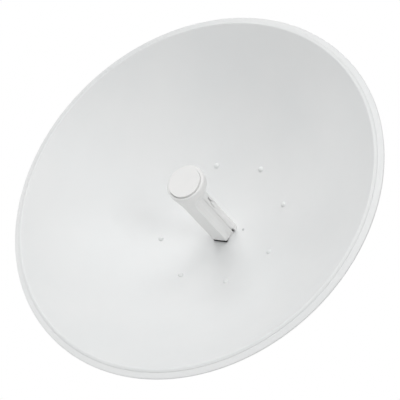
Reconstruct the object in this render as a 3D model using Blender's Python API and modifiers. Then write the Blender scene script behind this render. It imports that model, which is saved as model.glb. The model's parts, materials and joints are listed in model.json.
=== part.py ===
"""Parabolic dish antenna with its central feed and its mast bracket.

Metres, +Z up. The beam points along -Y. The origin is the middle of the flat rear
face of the mast bracket, between the two mast clamps.
The dish pieces share a turned frame: its z runs along the beam, its y points up,
and its zero is the plane of the reflector's front lip.
"""
import math

import bmesh
import bpy
from mathutils import Matrix, Vector

# Clearance between pieces that touch
GAP = 0.0003

# Points closer than this are one point, and a point nearer to the middle line is on it
MERGE = 0.00001

# How far a cutter reaches past the face that it opens
CUT_REACH = 0.010

# Reflector, a pressed sheet bowl with a grooved and folded rim
LIP_Y = -0.271
FOCAL_LENGTH = 0.155
SHEET = 0.0016
BOWL_RADIUS = 0.3091
RIM_OUTER_RADIUS = 0.325
CREST_RADIUS = 0.0023
CREST_TURN = 70
LIP_LENGTH = 0.0020
STEP_RADIUS = 0.0012
STEP_TURN = 42
GROOVE_RADIUS = 0.0013
GROOVE_TURN = 52
HEM_RADIUS = 0.0012
HEM_TURN = 165
NECK_HOLE_RADIUS = 0.0085
BOWL_STEPS = 64
BOWL_RINGS = 12
RING_SPACING = 0.78
ARC_STEP = 24

# Ring of eight bolts that holds the reflector to the hub plate
BOLT_COUNT = 8
BOLT_RING_RADIUS = 0.113
BOLT_FIRST_ANGLE = 22.5
BOLT_SHANK_RADIUS = 0.0019
BOLT_HOLE_RADIUS = 0.0022
BOLT_HEAD_RADIUS = 0.0043
BOLT_HEAD_HEIGHT = 0.0029
BOLT_LENGTH = 0.0105
REFLECTOR_HOLE_ENDS = (-0.006, 0.004)
HUB_HOLE_ENDS = (-0.012, 0.0)
NUT_RADIUS = 0.0040
NUT_HEIGHT = 0.0032
NUT_BORE_RADIUS = 0.0022

# Hub plate, a pressed pan behind the bowl
HUB_SHEET = 0.0025
HUB_OUTER_RADIUS = 0.127
HUB_BEND_RADIUS = 0.098
HUB_FLOOR_RADIUS = 0.088
HUB_FLOOR_DEPTH = -0.168
HUB_HOLE_RADIUS = 0.024

# Feed, a plastic body whose flat top lies just above the beam axis
FEED_BASE = -0.1526
FEED_FRONT = -0.0280
KEEL_BOTTOM = -0.0274
KEEL_HALF_WIDTH = 0.0132
KEEL_SHOULDER = -0.0170
KEEL_EDGE = 0.0012
FLANK_HOLLOW = 1.6
FLANK_STEPS = 4
SEAM_HALF_WIDTH = 0.0184
SEAM_HEIGHT = -0.0082
SHELL_HALF_WIDTH = 0.0210
SHELL_WIDEST_HEIGHT = -0.0010
SHELL_TOP = 0.0095
SHELL_FLATNESS = 2.6
SHELL_TUCK = 0.0022
SHELL_TUCK_RISE = ((0.0, 1.0), (0.0012, 0.5), (0.0042, 0.125))
SHELL_STEPS = 10
NECK_RADIUS = 0.0080

# A latch on each side of the feed, the open slot in front of it and the notch at the bowl
LATCH_FRONT = -0.0496
LATCH_BACK = -0.0666
LATCH_LOW = -0.0046
LATCH_HIGH = 0.0010
LATCH_PROUD = 0.0008
LATCH_SUNK = 0.003
LATCH_GAP = 0.0006
LATCH_CORNER = 0.0006
SLOT_FRONT = -0.0362
SLOT_LOW = -0.0030
SLOT_HIGH = -0.0004
SLOT_SUNK = 0.006
NOTCH_FRONT = -0.1482
NOTCH_HIGH = -0.0044
NOTCH_SUNK = 0.0045

# Cap on the feed's front: a ring that holds a raised disc
CAP_RADIUS = 0.0325
CAP_WIDEST = 0.0060
CAP_SHOULDER_RADIUS = 0.0290
CAP_SHOULDER = 0.0098
CAP_SIDE_END = 0.0
CAP_FLOOR = 0.0050
CAP_RECESS_RADIUS = 0.0280
CAP_DISC_RADIUS = 0.0277
CAP_DISC_FRONT = 0.0132
CAP_DISC_EDGE = 0.0006
CAP_STEPS = 5
CAP_BACK_STEPS = 7
CAP_TURN = 9
BODY_MIDDLE = -0.009

# Rear housing with its port door
TAIL_HALF_WIDTH = 0.030
TAIL_BOTTOM = -0.036
TAIL_TOP = 0.032
TAIL_DEPTH = 0.050
TAIL_CORNER = 0.009
DOOR_HALF_WIDTH = 0.022
DOOR_THICKNESS = 0.0025
DOOR_MARGIN = 0.006
DOOR_CORNER = 0.0008
PORT_HALF_WIDTH = 0.009
PORT_DEPTH = 0.020
PORT_CORNER = 0.004

# Tilt frame, the channel fixed to the hub plate
PLATE = 0.003
FRAME_INSIDE = 0.058
FRAME_HALF_HEIGHT = 0.044
FRAME_BACK = -0.022
FRAME_WINDOW = 0.040
FRAME_WINDOW_CORNER = 0.010
PIVOT_Y = -0.045
PIVOT_HEIGHT = 0.026
LOCK_DROP = 0.054
SLOT_SWEEP = 14
SLOT_HALF_WIDTH = 0.0036

# Mast bracket, the channel that nests in the tilt frame
BRACKET_OUTSIDE = 0.0577
BRACKET_FRONT = -0.075
BRACKET_HALF_HEIGHT = 0.058
BEND_RADIUS = 0.004

# The bracket's web stands proud between the clamps, which keeps the jaws from turning
JAW_SEAT_DEPTH = 0.0008
PAD_HALF_HEIGHT = 0.0266

# Mast clamps
MAST_RADIUS = 0.025
JAW_HEIGHT = 0.026
JAW_OFFSET = 0.040
JAW_HALF_WIDTH = 0.054
JAW_APEX = 0.0068
JAW_V_HALF_WIDTH = 0.034
JAW_V_ANGLE = 35
JAW_TEETH = 6
JAW_TOOTH_DEPTH = 0.0016
JAW_PLATE = 0.004
JAW_CORNER = 0.003
CLAMP_BOLT_X = 0.044
CLAMP_BOLT_RADIUS = 0.004
CLAMP_HOLE_RADIUS = 0.0045
CLAMP_BOLT_END = 0.100
CLAMP_NUT_HEIGHT = 0.0065

# Hexagon sizes, centre to corner
PIVOT_HEX = 0.0075
CLAMP_HEX = 0.0075
PIVOT_BOLT_RADIUS = 0.0032
PIVOT_HOLE_RADIUS = 0.0036
HEX_HEIGHT = 0.0050
PIVOT_TAIL = 0.0030

ROUND_STEPS = 24
SMALL_STEPS = 16
CORNER_STEPS = 4
FACET_ANGLE = 35


def clear_scene():
    """Remove whatever the file holds."""
    for item in list(bpy.data.objects):
        bpy.data.objects.remove(item, do_unlink=True)


def new_collection(name):
    """A collection linked to the scene."""
    group = bpy.data.collections.new(name)
    bpy.context.scene.collection.children.link(group)
    return group


def new_material(name, colour, roughness, metallic=0.0):
    """A Principled material of one colour."""
    material = bpy.data.materials.new(name)
    material.use_nodes = True
    shader = material.node_tree.nodes["Principled BSDF"]
    shader.inputs["Base Color"].default_value = (*colour, 1.0)
    shader.inputs["Roughness"].default_value = roughness
    shader.inputs["Metallic"].default_value = metallic
    return material


def add_mesh_object(name, mesh, material, parent=None):
    """Put a mesh in the parts collection under its node name."""
    item = bpy.data.objects.new(name, mesh)
    PARTS.objects.link(item)
    item.parent = parent
    mesh.materials.clear()
    mesh.materials.append(material)
    return item


def evaluated_mesh(item, name):
    """The mesh of an object with its modifiers applied and its doubles merged."""
    bpy.context.view_layer.update()
    graph = bpy.context.evaluated_depsgraph_get()
    mesh = bpy.data.meshes.new_from_object(item.evaluated_get(graph))
    mesh.name = name
    work = bmesh.new()
    work.from_mesh(mesh)
    bmesh.ops.remove_doubles(work, verts=work.verts, dist=MERGE)
    work.to_mesh(mesh)
    work.free()
    return mesh


def circle_points(radius, count=ROUND_STEPS, centre=(0.0, 0.0), start=0.0):
    """Points round a circle in a plane."""
    step = 2 * math.pi / count
    return [(centre[0] + radius * math.cos(start + step * i),
             centre[1] + radius * math.sin(start + step * i)) for i in range(count)]


def arc_points(centre, radius, first, last, count):
    """Points along an arc, with its angles in degrees and both ends included."""
    points = []
    for i in range(count + 1):
        angle = math.radians(first + (last - first) * i / count)
        points.append((centre[0] + radius * math.cos(angle),
                       centre[1] + radius * math.sin(angle)))
    return points


def rounded_box_points(low, high, corner, count=CORNER_STEPS):
    """A rectangle outline with round corners."""
    corners = ((high[0] - corner, high[1] - corner, 0), (low[0] + corner, high[1] - corner, 90),
               (low[0] + corner, low[1] + corner, 180), (high[0] - corner, low[1] + corner, 270))
    points = []
    for x, y, first in corners:
        points += arc_points((x, y), corner, first, first + 90, count)
    return points


def mirrored(half):
    """A closed outline from its right half, listed from the bottom to the top."""
    left = [(-x, y) for x, y in reversed(half) if x > MERGE]
    return half + left


def plate_mesh(name, outlines, low, high):
    """A flat plate between two heights, from an outer outline and its holes."""
    curve = bpy.data.curves.new(name, "CURVE")
    curve.dimensions = "2D"
    curve.fill_mode = "BOTH"
    curve.extrude = (high - low) / 2
    for outline in outlines:
        spline = curve.splines.new("POLY")
        spline.points.add(len(outline) - 1)
        for point, (x, y) in zip(spline.points, outline):
            point.co = (x, y, 0.0, 1.0)
        spline.use_cyclic_u = True
    item = bpy.data.objects.new(name, curve)
    GUIDES.objects.link(item)
    mesh = evaluated_mesh(item, name)
    mesh.transform(Matrix.Translation((0.0, 0.0, (low + high) / 2)))
    bpy.data.objects.remove(item, do_unlink=True)
    return mesh


def turned_mesh(name, profile, closed, steps):
    """A turned solid from a profile of (radius, height) points."""
    mesh = bpy.data.meshes.new(name)
    count = len(profile)
    edges = [(i, i + 1) for i in range(count - 1)]
    if closed:
        edges.append((count - 1, 0))
    mesh.from_pydata([(r, 0.0, z) for r, z in profile], edges, [])
    item = bpy.data.objects.new(name, mesh)
    GUIDES.objects.link(item)
    screw = item.modifiers.new("turn", "SCREW")
    screw.steps = steps
    screw.render_steps = steps
    screw.use_merge_vertices = True
    screw.merge_threshold = MERGE
    result = evaluated_mesh(item, name)
    bpy.data.objects.remove(item, do_unlink=True)
    return result


def smooth(mesh):
    """Shade round faces smooth and keep the edges sharp."""
    mesh.shade_smooth()
    mesh.set_sharp_from_angle(angle=math.radians(FACET_ANGLE))


def cutter(name, mesh, matrix):
    """A hidden solid that a Boolean uses."""
    item = bpy.data.objects.new(name, mesh)
    CUTTERS.objects.link(item)
    item.matrix_world = matrix
    item.hide_render = True
    item.display_type = "WIRE"
    return item


def combine(item, tool, operation):
    """Cut an object with another, or join the two."""
    step = item.modifiers.new(operation.lower(), "BOOLEAN")
    step.operation = operation
    step.solver = "EXACT"
    step.object = tool


def loft_mesh(name, rings):
    """A solid through closed rings of equal count, with a flat face at each end."""
    work = bmesh.new()
    levels = [[work.verts.new(point) for point in ring] for ring in rings]
    for low, high in zip(levels, levels[1:]):
        for i, vertex in enumerate(low):
            work.faces.new((low[i - 1], vertex, high[i], high[i - 1]))
    work.faces.new(levels[0])
    work.faces.new(levels[-1])
    bmesh.ops.recalc_face_normals(work, faces=work.faces)
    mesh = bpy.data.meshes.new(name)
    work.to_mesh(mesh)
    work.free()
    return mesh


def round_bar_mesh(name, radius, low, high, steps=ROUND_STEPS):
    """A plain round bar between two heights."""
    return plate_mesh(name, [circle_points(radius, steps)], low, high)


def dish_matrix(location=(0.0, 0.0, 0.0)):
    """World matrix of a place in the dish frame."""
    frame = Matrix.Translation((0.0, LIP_Y, 0.0)) @ Matrix.Rotation(math.pi / 2, 4, "X")
    return frame @ Matrix.Translation(location)


def bowl_height(radius):
    """Height of the bowl's front surface at a radius, in the dish frame."""
    return (radius ** 2 - 4 * FOCAL_LENGTH ** 2) / (4 * FOCAL_LENGTH)


def bowl_slope(radius):
    """Angle of the bowl's surface at a radius, from flat."""
    return math.atan(radius / (2 * FOCAL_LENGTH))


def path_arc(path, heading, radius, turn):
    """Carry a path on round an arc: a positive turn is to the left, in degrees."""
    side = 1 if turn > 0 else -1
    steps = max(2, round(abs(turn) / ARC_STEP))
    x, y = path[-1]
    centre = (x - side * radius * math.sin(heading), y + side * radius * math.cos(heading))
    for i in range(1, steps + 1):
        angle = heading + math.radians(turn) * i / steps
        path.append((centre[0] + side * radius * math.sin(angle),
                     centre[1] - side * radius * math.cos(angle)))
    return heading + math.radians(turn)


def path_line(path, heading, length):
    """Carry a path straight on."""
    x, y = path[-1]
    path.append((x + length * math.cos(heading), y + length * math.sin(heading)))


def sheet_profile(path, thickness):
    """A closed profile of even thickness about a path that runs outwards."""
    normals = []
    for i in range(len(path)):
        before = Vector(path[max(i - 1, 0)])
        after = Vector(path[min(i + 1, len(path) - 1)])
        along = (after - before).normalized()
        normals.append(Vector((-along.y, along.x)))
    half = thickness / 2
    front = [tuple(Vector(p) + n * half) for p, n in zip(path, normals)]
    back = [tuple(Vector(p) - n * half) for p, n in zip(path, normals)]
    return front + back[::-1]


def reflector_path():
    """Middle line of the sheet: the parabola, the sloping lip, the step down into the groove,
    the flange that slopes back, and the hem folded behind its edge."""
    inner = NECK_HOLE_RADIUS
    path = []
    for i in range(BOWL_RINGS + 1):
        share = (i / BOWL_RINGS) ** RING_SPACING
        radius = inner + (BOWL_RADIUS - inner) * share
        slope = bowl_slope(radius)
        path.append((radius + SHEET / 2 * math.sin(slope),
                     bowl_height(radius) - SHEET / 2 * math.cos(slope)))
    heading = bowl_slope(BOWL_RADIUS)
    heading = path_arc(path, heading, CREST_RADIUS, -CREST_TURN)
    path_line(path, heading, LIP_LENGTH)
    heading = path_arc(path, heading, STEP_RADIUS, -STEP_TURN)
    heading = path_arc(path, heading, GROOVE_RADIUS, GROOVE_TURN)
    hem_start = RIM_OUTER_RADIUS - SHEET / 2 - HEM_RADIUS * (1 + math.sin(heading))
    path_line(path, heading, (hem_start - path[-1][0]) / math.cos(heading))
    path_arc(path, heading, HEM_RADIUS, -HEM_TURN)
    return path


def ring_matrix(index, lift=0.0):
    """Place on the bolt ring, with its z square to the bowl's front surface."""
    angle = math.radians(BOLT_FIRST_ANGLE + index * 360 / BOLT_COUNT)
    place = (BOLT_RING_RADIUS, 0.0, bowl_height(BOLT_RING_RADIUS))
    tilt = Matrix.Rotation(-bowl_slope(BOLT_RING_RADIUS), 4, "Y")
    lean = Matrix.Translation(place) @ tilt @ Matrix.Translation((0.0, 0.0, lift))
    return Matrix.Rotation(math.pi / 2 - angle, 4, "Z") @ lean


def cut_ring_holes(item, name, ends):
    """Cut the eight bolt holes with bars between two heights, square to the bowl."""
    bar = round_bar_mesh(name + "_bar", BOLT_HOLE_RADIUS, *ends, SMALL_STEPS)
    for i in range(BOLT_COUNT):
        combine(item, cutter(f"{name}_{i + 1}", bar, dish_matrix() @ ring_matrix(i)), "DIFFERENCE")


def build_reflector():
    """The pressed bowl with its folded rim, its neck hole and its bolt holes."""
    mesh = turned_mesh("reflector", sheet_profile(reflector_path(), SHEET), True, BOWL_STEPS)
    smooth(mesh)
    item = add_mesh_object("reflector", mesh, WHITE_PAINT, DISH)
    cut_ring_holes(item, "reflector_hole", REFLECTOR_HOLE_ENDS)


def hub_path():
    """Middle line of the hub plate, from its neck hole out to the flange on the bowl."""
    drop = SHEET + GAP + HUB_SHEET / 2
    path = [(HUB_HOLE_RADIUS, HUB_FLOOR_DEPTH + HUB_SHEET / 2),
            (HUB_FLOOR_RADIUS, HUB_FLOOR_DEPTH + HUB_SHEET / 2)]
    for radius in (HUB_BEND_RADIUS, BOLT_RING_RADIUS, HUB_OUTER_RADIUS):
        slope = bowl_slope(radius)
        path.append((radius + drop * math.sin(slope), bowl_height(radius) - drop * math.cos(slope)))
    return path


def build_hub_plate():
    """The pan that carries the bowl on its flange and the tilt frame on its floor."""
    mesh = turned_mesh("hub_plate", sheet_profile(hub_path(), HUB_SHEET), True, BOWL_STEPS)
    item = add_mesh_object("hub_plate", mesh, WHITE_PAINT, DISH)
    cut_ring_holes(item, "hub_hole", HUB_HOLE_ENDS)


def build_ring_fasteners():
    """Eight round-headed bolts in the bowl and the nuts behind the hub plate."""
    profile = []
    for angle in (0, 30, 60, 90):
        turn = math.radians(angle)
        profile.append((BOLT_HEAD_RADIUS * math.sin(turn),
                        GAP + (BOLT_HEAD_HEIGHT - GAP) * math.cos(turn)))
    profile += [(BOLT_SHANK_RADIUS, GAP), (BOLT_SHANK_RADIUS, -BOLT_LENGTH), (0.0, -BOLT_LENGTH)]
    bolt = turned_mesh("ring_bolt", profile, False, SMALL_STEPS)
    smooth(bolt)
    hexagon = circle_points(NUT_RADIUS, 6)
    bore = circle_points(NUT_BORE_RADIUS, SMALL_STEPS)
    nut_top = -(SHEET + GAP + HUB_SHEET + GAP)
    nut = plate_mesh("ring_nut", [hexagon, bore], nut_top - NUT_HEIGHT, nut_top)
    for i in range(BOLT_COUNT):
        for name, mesh, material in (("bolt", bolt, WHITE_PAINT), ("nut", nut, ZINC)):
            item = add_mesh_object(f"ring_{name}_{i + 1}", mesh, material, DISH)
            item.matrix_local = ring_matrix(i)


def keel_half():
    """Right half of the feed's lower body: a flat keel with a hollow flank up to the seam."""
    half = [(0.0, KEEL_BOTTOM)]
    half += arc_points((KEEL_HALF_WIDTH - KEEL_EDGE, KEEL_BOTTOM + KEEL_EDGE), KEEL_EDGE, -90, 0, 3)
    half += [(KEEL_HALF_WIDTH, KEEL_SHOULDER)]
    for i in range(1, FLANK_STEPS + 1):
        share = i / FLANK_STEPS
        x = KEEL_HALF_WIDTH + (SEAM_HALF_WIDTH - KEEL_HALF_WIDTH) * share ** FLANK_HOLLOW
        half.append((x, KEEL_SHOULDER + (SEAM_HEIGHT - KEEL_SHOULDER) * share))
    return half


def shell_half():
    """Right half of the feed's cover: tucked in at the seam, and a low, flattened oval above."""
    low = SEAM_HEIGHT + GAP
    half = [(SHELL_HALF_WIDTH - SHELL_TUCK * share, low + lift) for lift, share in SHELL_TUCK_RISE]
    rise = SHELL_TOP - SHELL_WIDEST_HEIGHT
    for i in range(SHELL_STEPS + 1):
        angle = math.pi / 2 * i / SHELL_STEPS
        across = math.cos(angle) ** (2 / SHELL_FLATNESS)
        up = math.sin(angle) ** (2 / SHELL_FLATNESS)
        half.append((SHELL_HALF_WIDTH * across, SHELL_WIDEST_HEIGHT + rise * up))
    return half


def body_section():
    """The feed's whole outline, with a point at least every few degrees about its middle."""
    half = keel_half() + shell_half()
    points = half[:1]
    for first, last in zip(half, half[1:]):
        turn = body_angle(last) - body_angle(first)
        steps = max(1, math.ceil(math.degrees(turn) / CAP_TURN))
        for i in range(1, steps + 1):
            points.append(tuple(Vector(first).lerp(Vector(last), i / steps)))
    return mirrored(points)


def body_angle(point):
    """Angle of a point of the feed's section about the body's middle."""
    return math.atan2(point[1] - BODY_MIDDLE, point[0])


def side_box(side, near, far, low, high):
    """A box outline at one side of the feed's section."""
    outline = rounded_box_points((near, low), (far, high), LATCH_CORNER, 2)
    if side < 0:
        outline = [(-x, y) for x, y in reversed(outline)]
    return outline


def cap_front_profile():
    """The cap ring's front: a recess for the disc, a round shoulder and a straight side."""
    profile = [(CAP_RECESS_RADIUS, CAP_FLOOR), (CAP_RECESS_RADIUS, CAP_SHOULDER)]
    across = CAP_RADIUS - CAP_SHOULDER_RADIUS
    for i in range(CAP_STEPS + 1):
        angle = math.pi / 2 * i / CAP_STEPS
        profile.append((CAP_SHOULDER_RADIUS + across * math.sin(angle),
                        CAP_WIDEST + (CAP_SHOULDER - CAP_WIDEST) * math.cos(angle)))
    return profile + [(CAP_RADIUS, CAP_SIDE_END)]


def cap_ring_mesh():
    """The cap's ring, whose back goes over from a circle to the outline of the feed's body."""
    section = body_section()
    circle = [(math.cos(body_angle(point)), math.sin(body_angle(point))) for point in section]
    rings = [[(radius * x, radius * y, height) for x, y in circle]
             for radius, height in cap_front_profile()]
    back = FEED_FRONT + GAP
    for i in range(1, CAP_BACK_STEPS + 1):
        share = i / CAP_BACK_STEPS
        ease = share * share * (3 - 2 * share)
        height = CAP_SIDE_END + (back - CAP_SIDE_END) * share
        rings.append([(CAP_RADIUS * x * (1 - ease) + a * ease,
                       CAP_RADIUS * y * (1 - ease) + b * ease, height)
                      for (x, y), (a, b) in zip(circle, section)])
    return loft_mesh("cap_ring", rings)


def build_latches(cover):
    """On each side: the latch in its pocket, the open slot in front, the notch at the bowl."""
    wall = SHELL_HALF_WIDTH
    reach = SHELL_HALF_WIDTH + CUT_REACH
    for name, side in (("right", 1), ("left", -1)):
        outline = side_box(side, wall - LATCH_SUNK, wall + LATCH_PROUD, LATCH_LOW, LATCH_HIGH)
        latch = plate_mesh(f"feed_latch_{name}", [outline], LATCH_BACK, LATCH_FRONT)
        add_mesh_object(f"feed_latch_{name}", latch, WHITE_PLASTIC, DISH)
        cuts = (("latch_pocket", (wall - LATCH_SUNK - LATCH_GAP, reach,
                                  LATCH_LOW - LATCH_GAP, LATCH_HIGH + LATCH_GAP),
                 (LATCH_BACK - LATCH_GAP, LATCH_FRONT + LATCH_GAP)),
                ("latch_slot", (wall - SLOT_SUNK, reach, SLOT_LOW, SLOT_HIGH),
                 (LATCH_FRONT, SLOT_FRONT)),
                ("corner_notch", (wall - NOTCH_SUNK, reach, SEAM_HEIGHT - CUT_REACH, NOTCH_HIGH),
                 (FEED_BASE - CUT_REACH, NOTCH_FRONT)))
        for cut, box, ends in cuts:
            mesh = plate_mesh(f"{cut}_{name}", [side_box(side, *box)], *ends)
            combine(cover, cutter(f"{cut}_{name}", mesh, dish_matrix()), "DIFFERENCE")


def build_feed():
    """The feed's body halves, its latches, its neck and its two cap pieces."""
    keel_mesh = plate_mesh("feed_keel", [mirrored(keel_half())], FEED_BASE, FEED_FRONT)
    add_mesh_object("feed_keel", keel_mesh, WHITE_PLASTIC, DISH)
    cover = plate_mesh("feed_cover", [mirrored(shell_half())], FEED_BASE, FEED_FRONT)
    build_latches(add_mesh_object("feed_cover", cover, WHITE_PLASTIC, DISH))

    neck_back = HUB_FLOOR_DEPTH + GAP
    neck = round_bar_mesh("feed_neck", NECK_RADIUS, neck_back, FEED_BASE - GAP)
    smooth(neck)
    add_mesh_object("feed_neck", neck, WHITE_PLASTIC, DISH)

    ring = cap_ring_mesh()
    smooth(ring)
    add_mesh_object("cap_ring", ring, WHITE_PLASTIC, DISH)

    disc = [(0.0, CAP_DISC_FRONT), (CAP_DISC_RADIUS - CAP_DISC_EDGE, CAP_DISC_FRONT),
            (CAP_DISC_RADIUS, CAP_DISC_FRONT - CAP_DISC_EDGE), (CAP_DISC_RADIUS, CAP_FLOOR + GAP),
            (0.0, CAP_FLOOR + GAP)]
    mesh = turned_mesh("cap_disc", disc, False, 2 * ROUND_STEPS)
    smooth(mesh)
    add_mesh_object("cap_disc", mesh, WHITE_PLASTIC, DISH)


def build_rear_housing():
    """The housing behind the hub plate and the port door under it."""
    front = HUB_FLOOR_DEPTH - GAP
    back = front - TAIL_DEPTH
    outline = rounded_box_points((-TAIL_HALF_WIDTH, TAIL_BOTTOM), (TAIL_HALF_WIDTH, TAIL_TOP), TAIL_CORNER)
    housing = plate_mesh("rear_housing", [outline], back, front)
    item = add_mesh_object("rear_housing", housing, WHITE_PLASTIC, DISH)

    recess = rounded_box_points((-DOOR_HALF_WIDTH - GAP, TAIL_BOTTOM - CUT_REACH),
                                (DOOR_HALF_WIDTH + GAP, TAIL_BOTTOM + DOOR_THICKNESS + GAP),
                                DOOR_CORNER, 2)
    mesh = plate_mesh("door_recess", [recess], back - CUT_REACH, front - DOOR_MARGIN)
    combine(item, cutter("door_recess", mesh, dish_matrix()), "DIFFERENCE")

    door = [(-DOOR_HALF_WIDTH, TAIL_BOTTOM), (DOOR_HALF_WIDTH, TAIL_BOTTOM),
            (DOOR_HALF_WIDTH, TAIL_BOTTOM + DOOR_THICKNESS),
            (-DOOR_HALF_WIDTH, TAIL_BOTTOM + DOOR_THICKNESS)]
    mesh = plate_mesh("port_door", [door], back, front - DOOR_MARGIN - GAP)
    door_item = add_mesh_object("port_door", mesh, WHITE_PLASTIC, DISH)

    port = rounded_box_points((-PORT_HALF_WIDTH, TAIL_BOTTOM - CUT_REACH),
                              (PORT_HALF_WIDTH, TAIL_BOTTOM + PORT_HALF_WIDTH), PORT_CORNER)
    mesh = plate_mesh("cable_port", [port], back - CUT_REACH, back + PORT_DEPTH)
    tool = cutter("cable_port", mesh, dish_matrix())
    combine(item, tool, "DIFFERENCE")
    combine(door_item, tool, "DIFFERENCE")


def channel_outline(inside, web_near, web_far, leg_end):
    """Plan outline of a bent channel: web across at one end and two legs along Y."""
    outside = inside + PLATE
    toward = 1 if leg_end > web_far else -1
    bend = (outside - BEND_RADIUS, web_near + toward * BEND_RADIUS)
    half = arc_points(bend, BEND_RADIUS, -90 * toward, 0, CORNER_STEPS)
    half += [(outside, leg_end), (inside, leg_end), (inside, web_far)]
    return half + [(-x, y) for x, y in reversed(half)]


def side_matrix():
    """Frame whose x runs back along Y, whose y points up and whose z points to +X."""
    return Matrix(((0, 0, 1, 0), (1, 0, 0, 0), (0, 1, 0, 0), (0, 0, 0, 1)))


def slot_outline():
    """The curved slot, centred on the pivot, in the side frame."""
    centre = (PIVOT_Y, PIVOT_HEIGHT)
    start = -90 - SLOT_SWEEP
    end = -90 + SLOT_SWEEP
    outer = arc_points(centre, LOCK_DROP + SLOT_HALF_WIDTH, start, end, 6)
    inner = arc_points(centre, LOCK_DROP - SLOT_HALF_WIDTH, end, start, 6)
    caps = []
    for angle, first in ((end, end), (start, start + 180)):
        tip = arc_points(centre, LOCK_DROP, angle, angle, 1)[0]
        caps.append(arc_points(tip, SLOT_HALF_WIDTH, first, first + 180, 6)[1:-1])
    return outer + caps[0] + inner + caps[1]


def build_tilt_frame():
    """The channel on the hub plate whose two cheeks carry the pivot and the slots."""
    web_near = LIP_Y - HUB_FLOOR_DEPTH + GAP
    outline = channel_outline(FRAME_INSIDE, web_near, web_near + PLATE, FRAME_BACK)
    mesh = plate_mesh("tilt_frame", [outline], -FRAME_HALF_HEIGHT, FRAME_HALF_HEIGHT)
    item = add_mesh_object("tilt_frame", mesh, WHITE_PAINT)

    window = rounded_box_points((-FRAME_WINDOW, -FRAME_WINDOW), (FRAME_WINDOW, FRAME_WINDOW),
                                FRAME_WINDOW_CORNER)
    mesh = plate_mesh("frame_window", [window], -CUT_REACH, CUT_REACH)
    place = Matrix.Translation((0.0, web_near, 0.0)) @ Matrix.Rotation(math.pi / 2, 4, "X")
    combine(item, cutter("frame_window", mesh, place), "DIFFERENCE")

    reach = FRAME_INSIDE + 2 * PLATE
    slot = plate_mesh("tilt_slots", [slot_outline()], -reach, reach)
    combine(item, cutter("tilt_slots", slot, side_matrix()), "DIFFERENCE")
    pivot = plate_mesh("frame_pivots", [circle_points(PIVOT_HOLE_RADIUS, SMALL_STEPS,
                                                      (PIVOT_Y, PIVOT_HEIGHT))], -reach, reach)
    combine(item, cutter("frame_pivots", pivot, side_matrix()), "DIFFERENCE")


def clamp_places():
    """Places of the four clamp bolts: side, level and their X and Z."""
    return [(side, level, sign_x * CLAMP_BOLT_X, sign_z * JAW_OFFSET)
            for level, sign_z in (("upper", 1), ("lower", -1))
            for side, sign_x in (("right", 1), ("left", -1))]


def build_mast_bracket():
    """The channel whose web takes the mast clamps."""
    outline = channel_outline(BRACKET_OUTSIDE - PLATE, 0.0, -PLATE, BRACKET_FRONT)
    mesh = plate_mesh("mast_bracket", [outline], -BRACKET_HALF_HEIGHT, BRACKET_HALF_HEIGHT)
    item = add_mesh_object("mast_bracket", mesh, ZINC)
    holes = [circle_points(PIVOT_HOLE_RADIUS, SMALL_STEPS, (PIVOT_Y, PIVOT_HEIGHT)),
             circle_points(PIVOT_HOLE_RADIUS, SMALL_STEPS, (PIVOT_Y, PIVOT_HEIGHT - LOCK_DROP))]
    for number, hole in enumerate(holes):
        mesh = plate_mesh("bracket_pivots", [hole], -BRACKET_OUTSIDE - PLATE, BRACKET_OUTSIDE + PLATE)
        combine(item, cutter(f"bracket_pivots_{number + 1}", mesh, side_matrix()), "DIFFERENCE")
    bar = round_bar_mesh("clamp_hole", CLAMP_HOLE_RADIUS, -CUT_REACH, CUT_REACH, SMALL_STEPS)
    for side, level, x, z in clamp_places():
        place = Matrix.Translation((x, 0.0, z)) @ Matrix.Rotation(math.pi / 2, 4, "X")
        combine(item, cutter(f"clamp_hole_{level}_{side}", bar, place), "DIFFERENCE")
    reach = BRACKET_OUTSIDE + PLATE
    band = [(-reach, -JAW_SEAT_DEPTH), (reach, -JAW_SEAT_DEPTH), (reach, CUT_REACH), (-reach, CUT_REACH)]
    end = BRACKET_HALF_HEIGHT + CUT_REACH
    for level, low, high in (("upper", PAD_HALF_HEIGHT, end), ("lower", -end, -PAD_HALF_HEIGHT)):
        tool = cutter(f"jaw_seat_{level}", plate_mesh("jaw_seat", [band], low, high), Matrix())
        combine(item, tool, "DIFFERENCE")


def bolt_with_nut_mesh(name, shank, corner, head, nut, end):
    """A hexagon bolt with its nut run on: head low and high, nut low and high, shank end."""
    low, high = head
    item = bpy.data.objects.new(name, plate_mesh(name, [circle_points(corner, 6)], low, high))
    GUIDES.objects.link(item)
    bar = round_bar_mesh(name + "_shank", shank, (low + high) / 2, end, SMALL_STEPS)
    combine(item, cutter(name + "_shank", bar, Matrix()), "UNION")
    ring = plate_mesh(name + "_nut", [circle_points(corner, 6)], nut[0], nut[1])
    combine(item, cutter(name + "_nut", ring, Matrix()), "UNION")
    mesh = evaluated_mesh(item, name)
    bpy.data.objects.remove(item, do_unlink=True)
    return mesh


def build_tilt_bolts():
    """Pivot bolt above and lock bolt below, on each side of the bracket."""
    head = -(FRAME_INSIDE + PLATE + GAP)
    nut = -(BRACKET_OUTSIDE - PLATE - GAP)
    mesh = bolt_with_nut_mesh("tilt_bolt", PIVOT_BOLT_RADIUS, PIVOT_HEX, (head - HEX_HEIGHT, head),
                              (nut, nut + HEX_HEIGHT), nut + HEX_HEIGHT + PIVOT_TAIL)
    for name, height in (("pivot_bolt", PIVOT_HEIGHT), ("lock_bolt", PIVOT_HEIGHT - LOCK_DROP)):
        for side, turn in (("right", -90), ("left", 90)):
            item = add_mesh_object(f"{name}_{side}", mesh, ZINC)
            item.location = (0.0, PIVOT_Y, height)
            item.rotation_euler = (0.0, math.radians(turn), 0.0)


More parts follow.
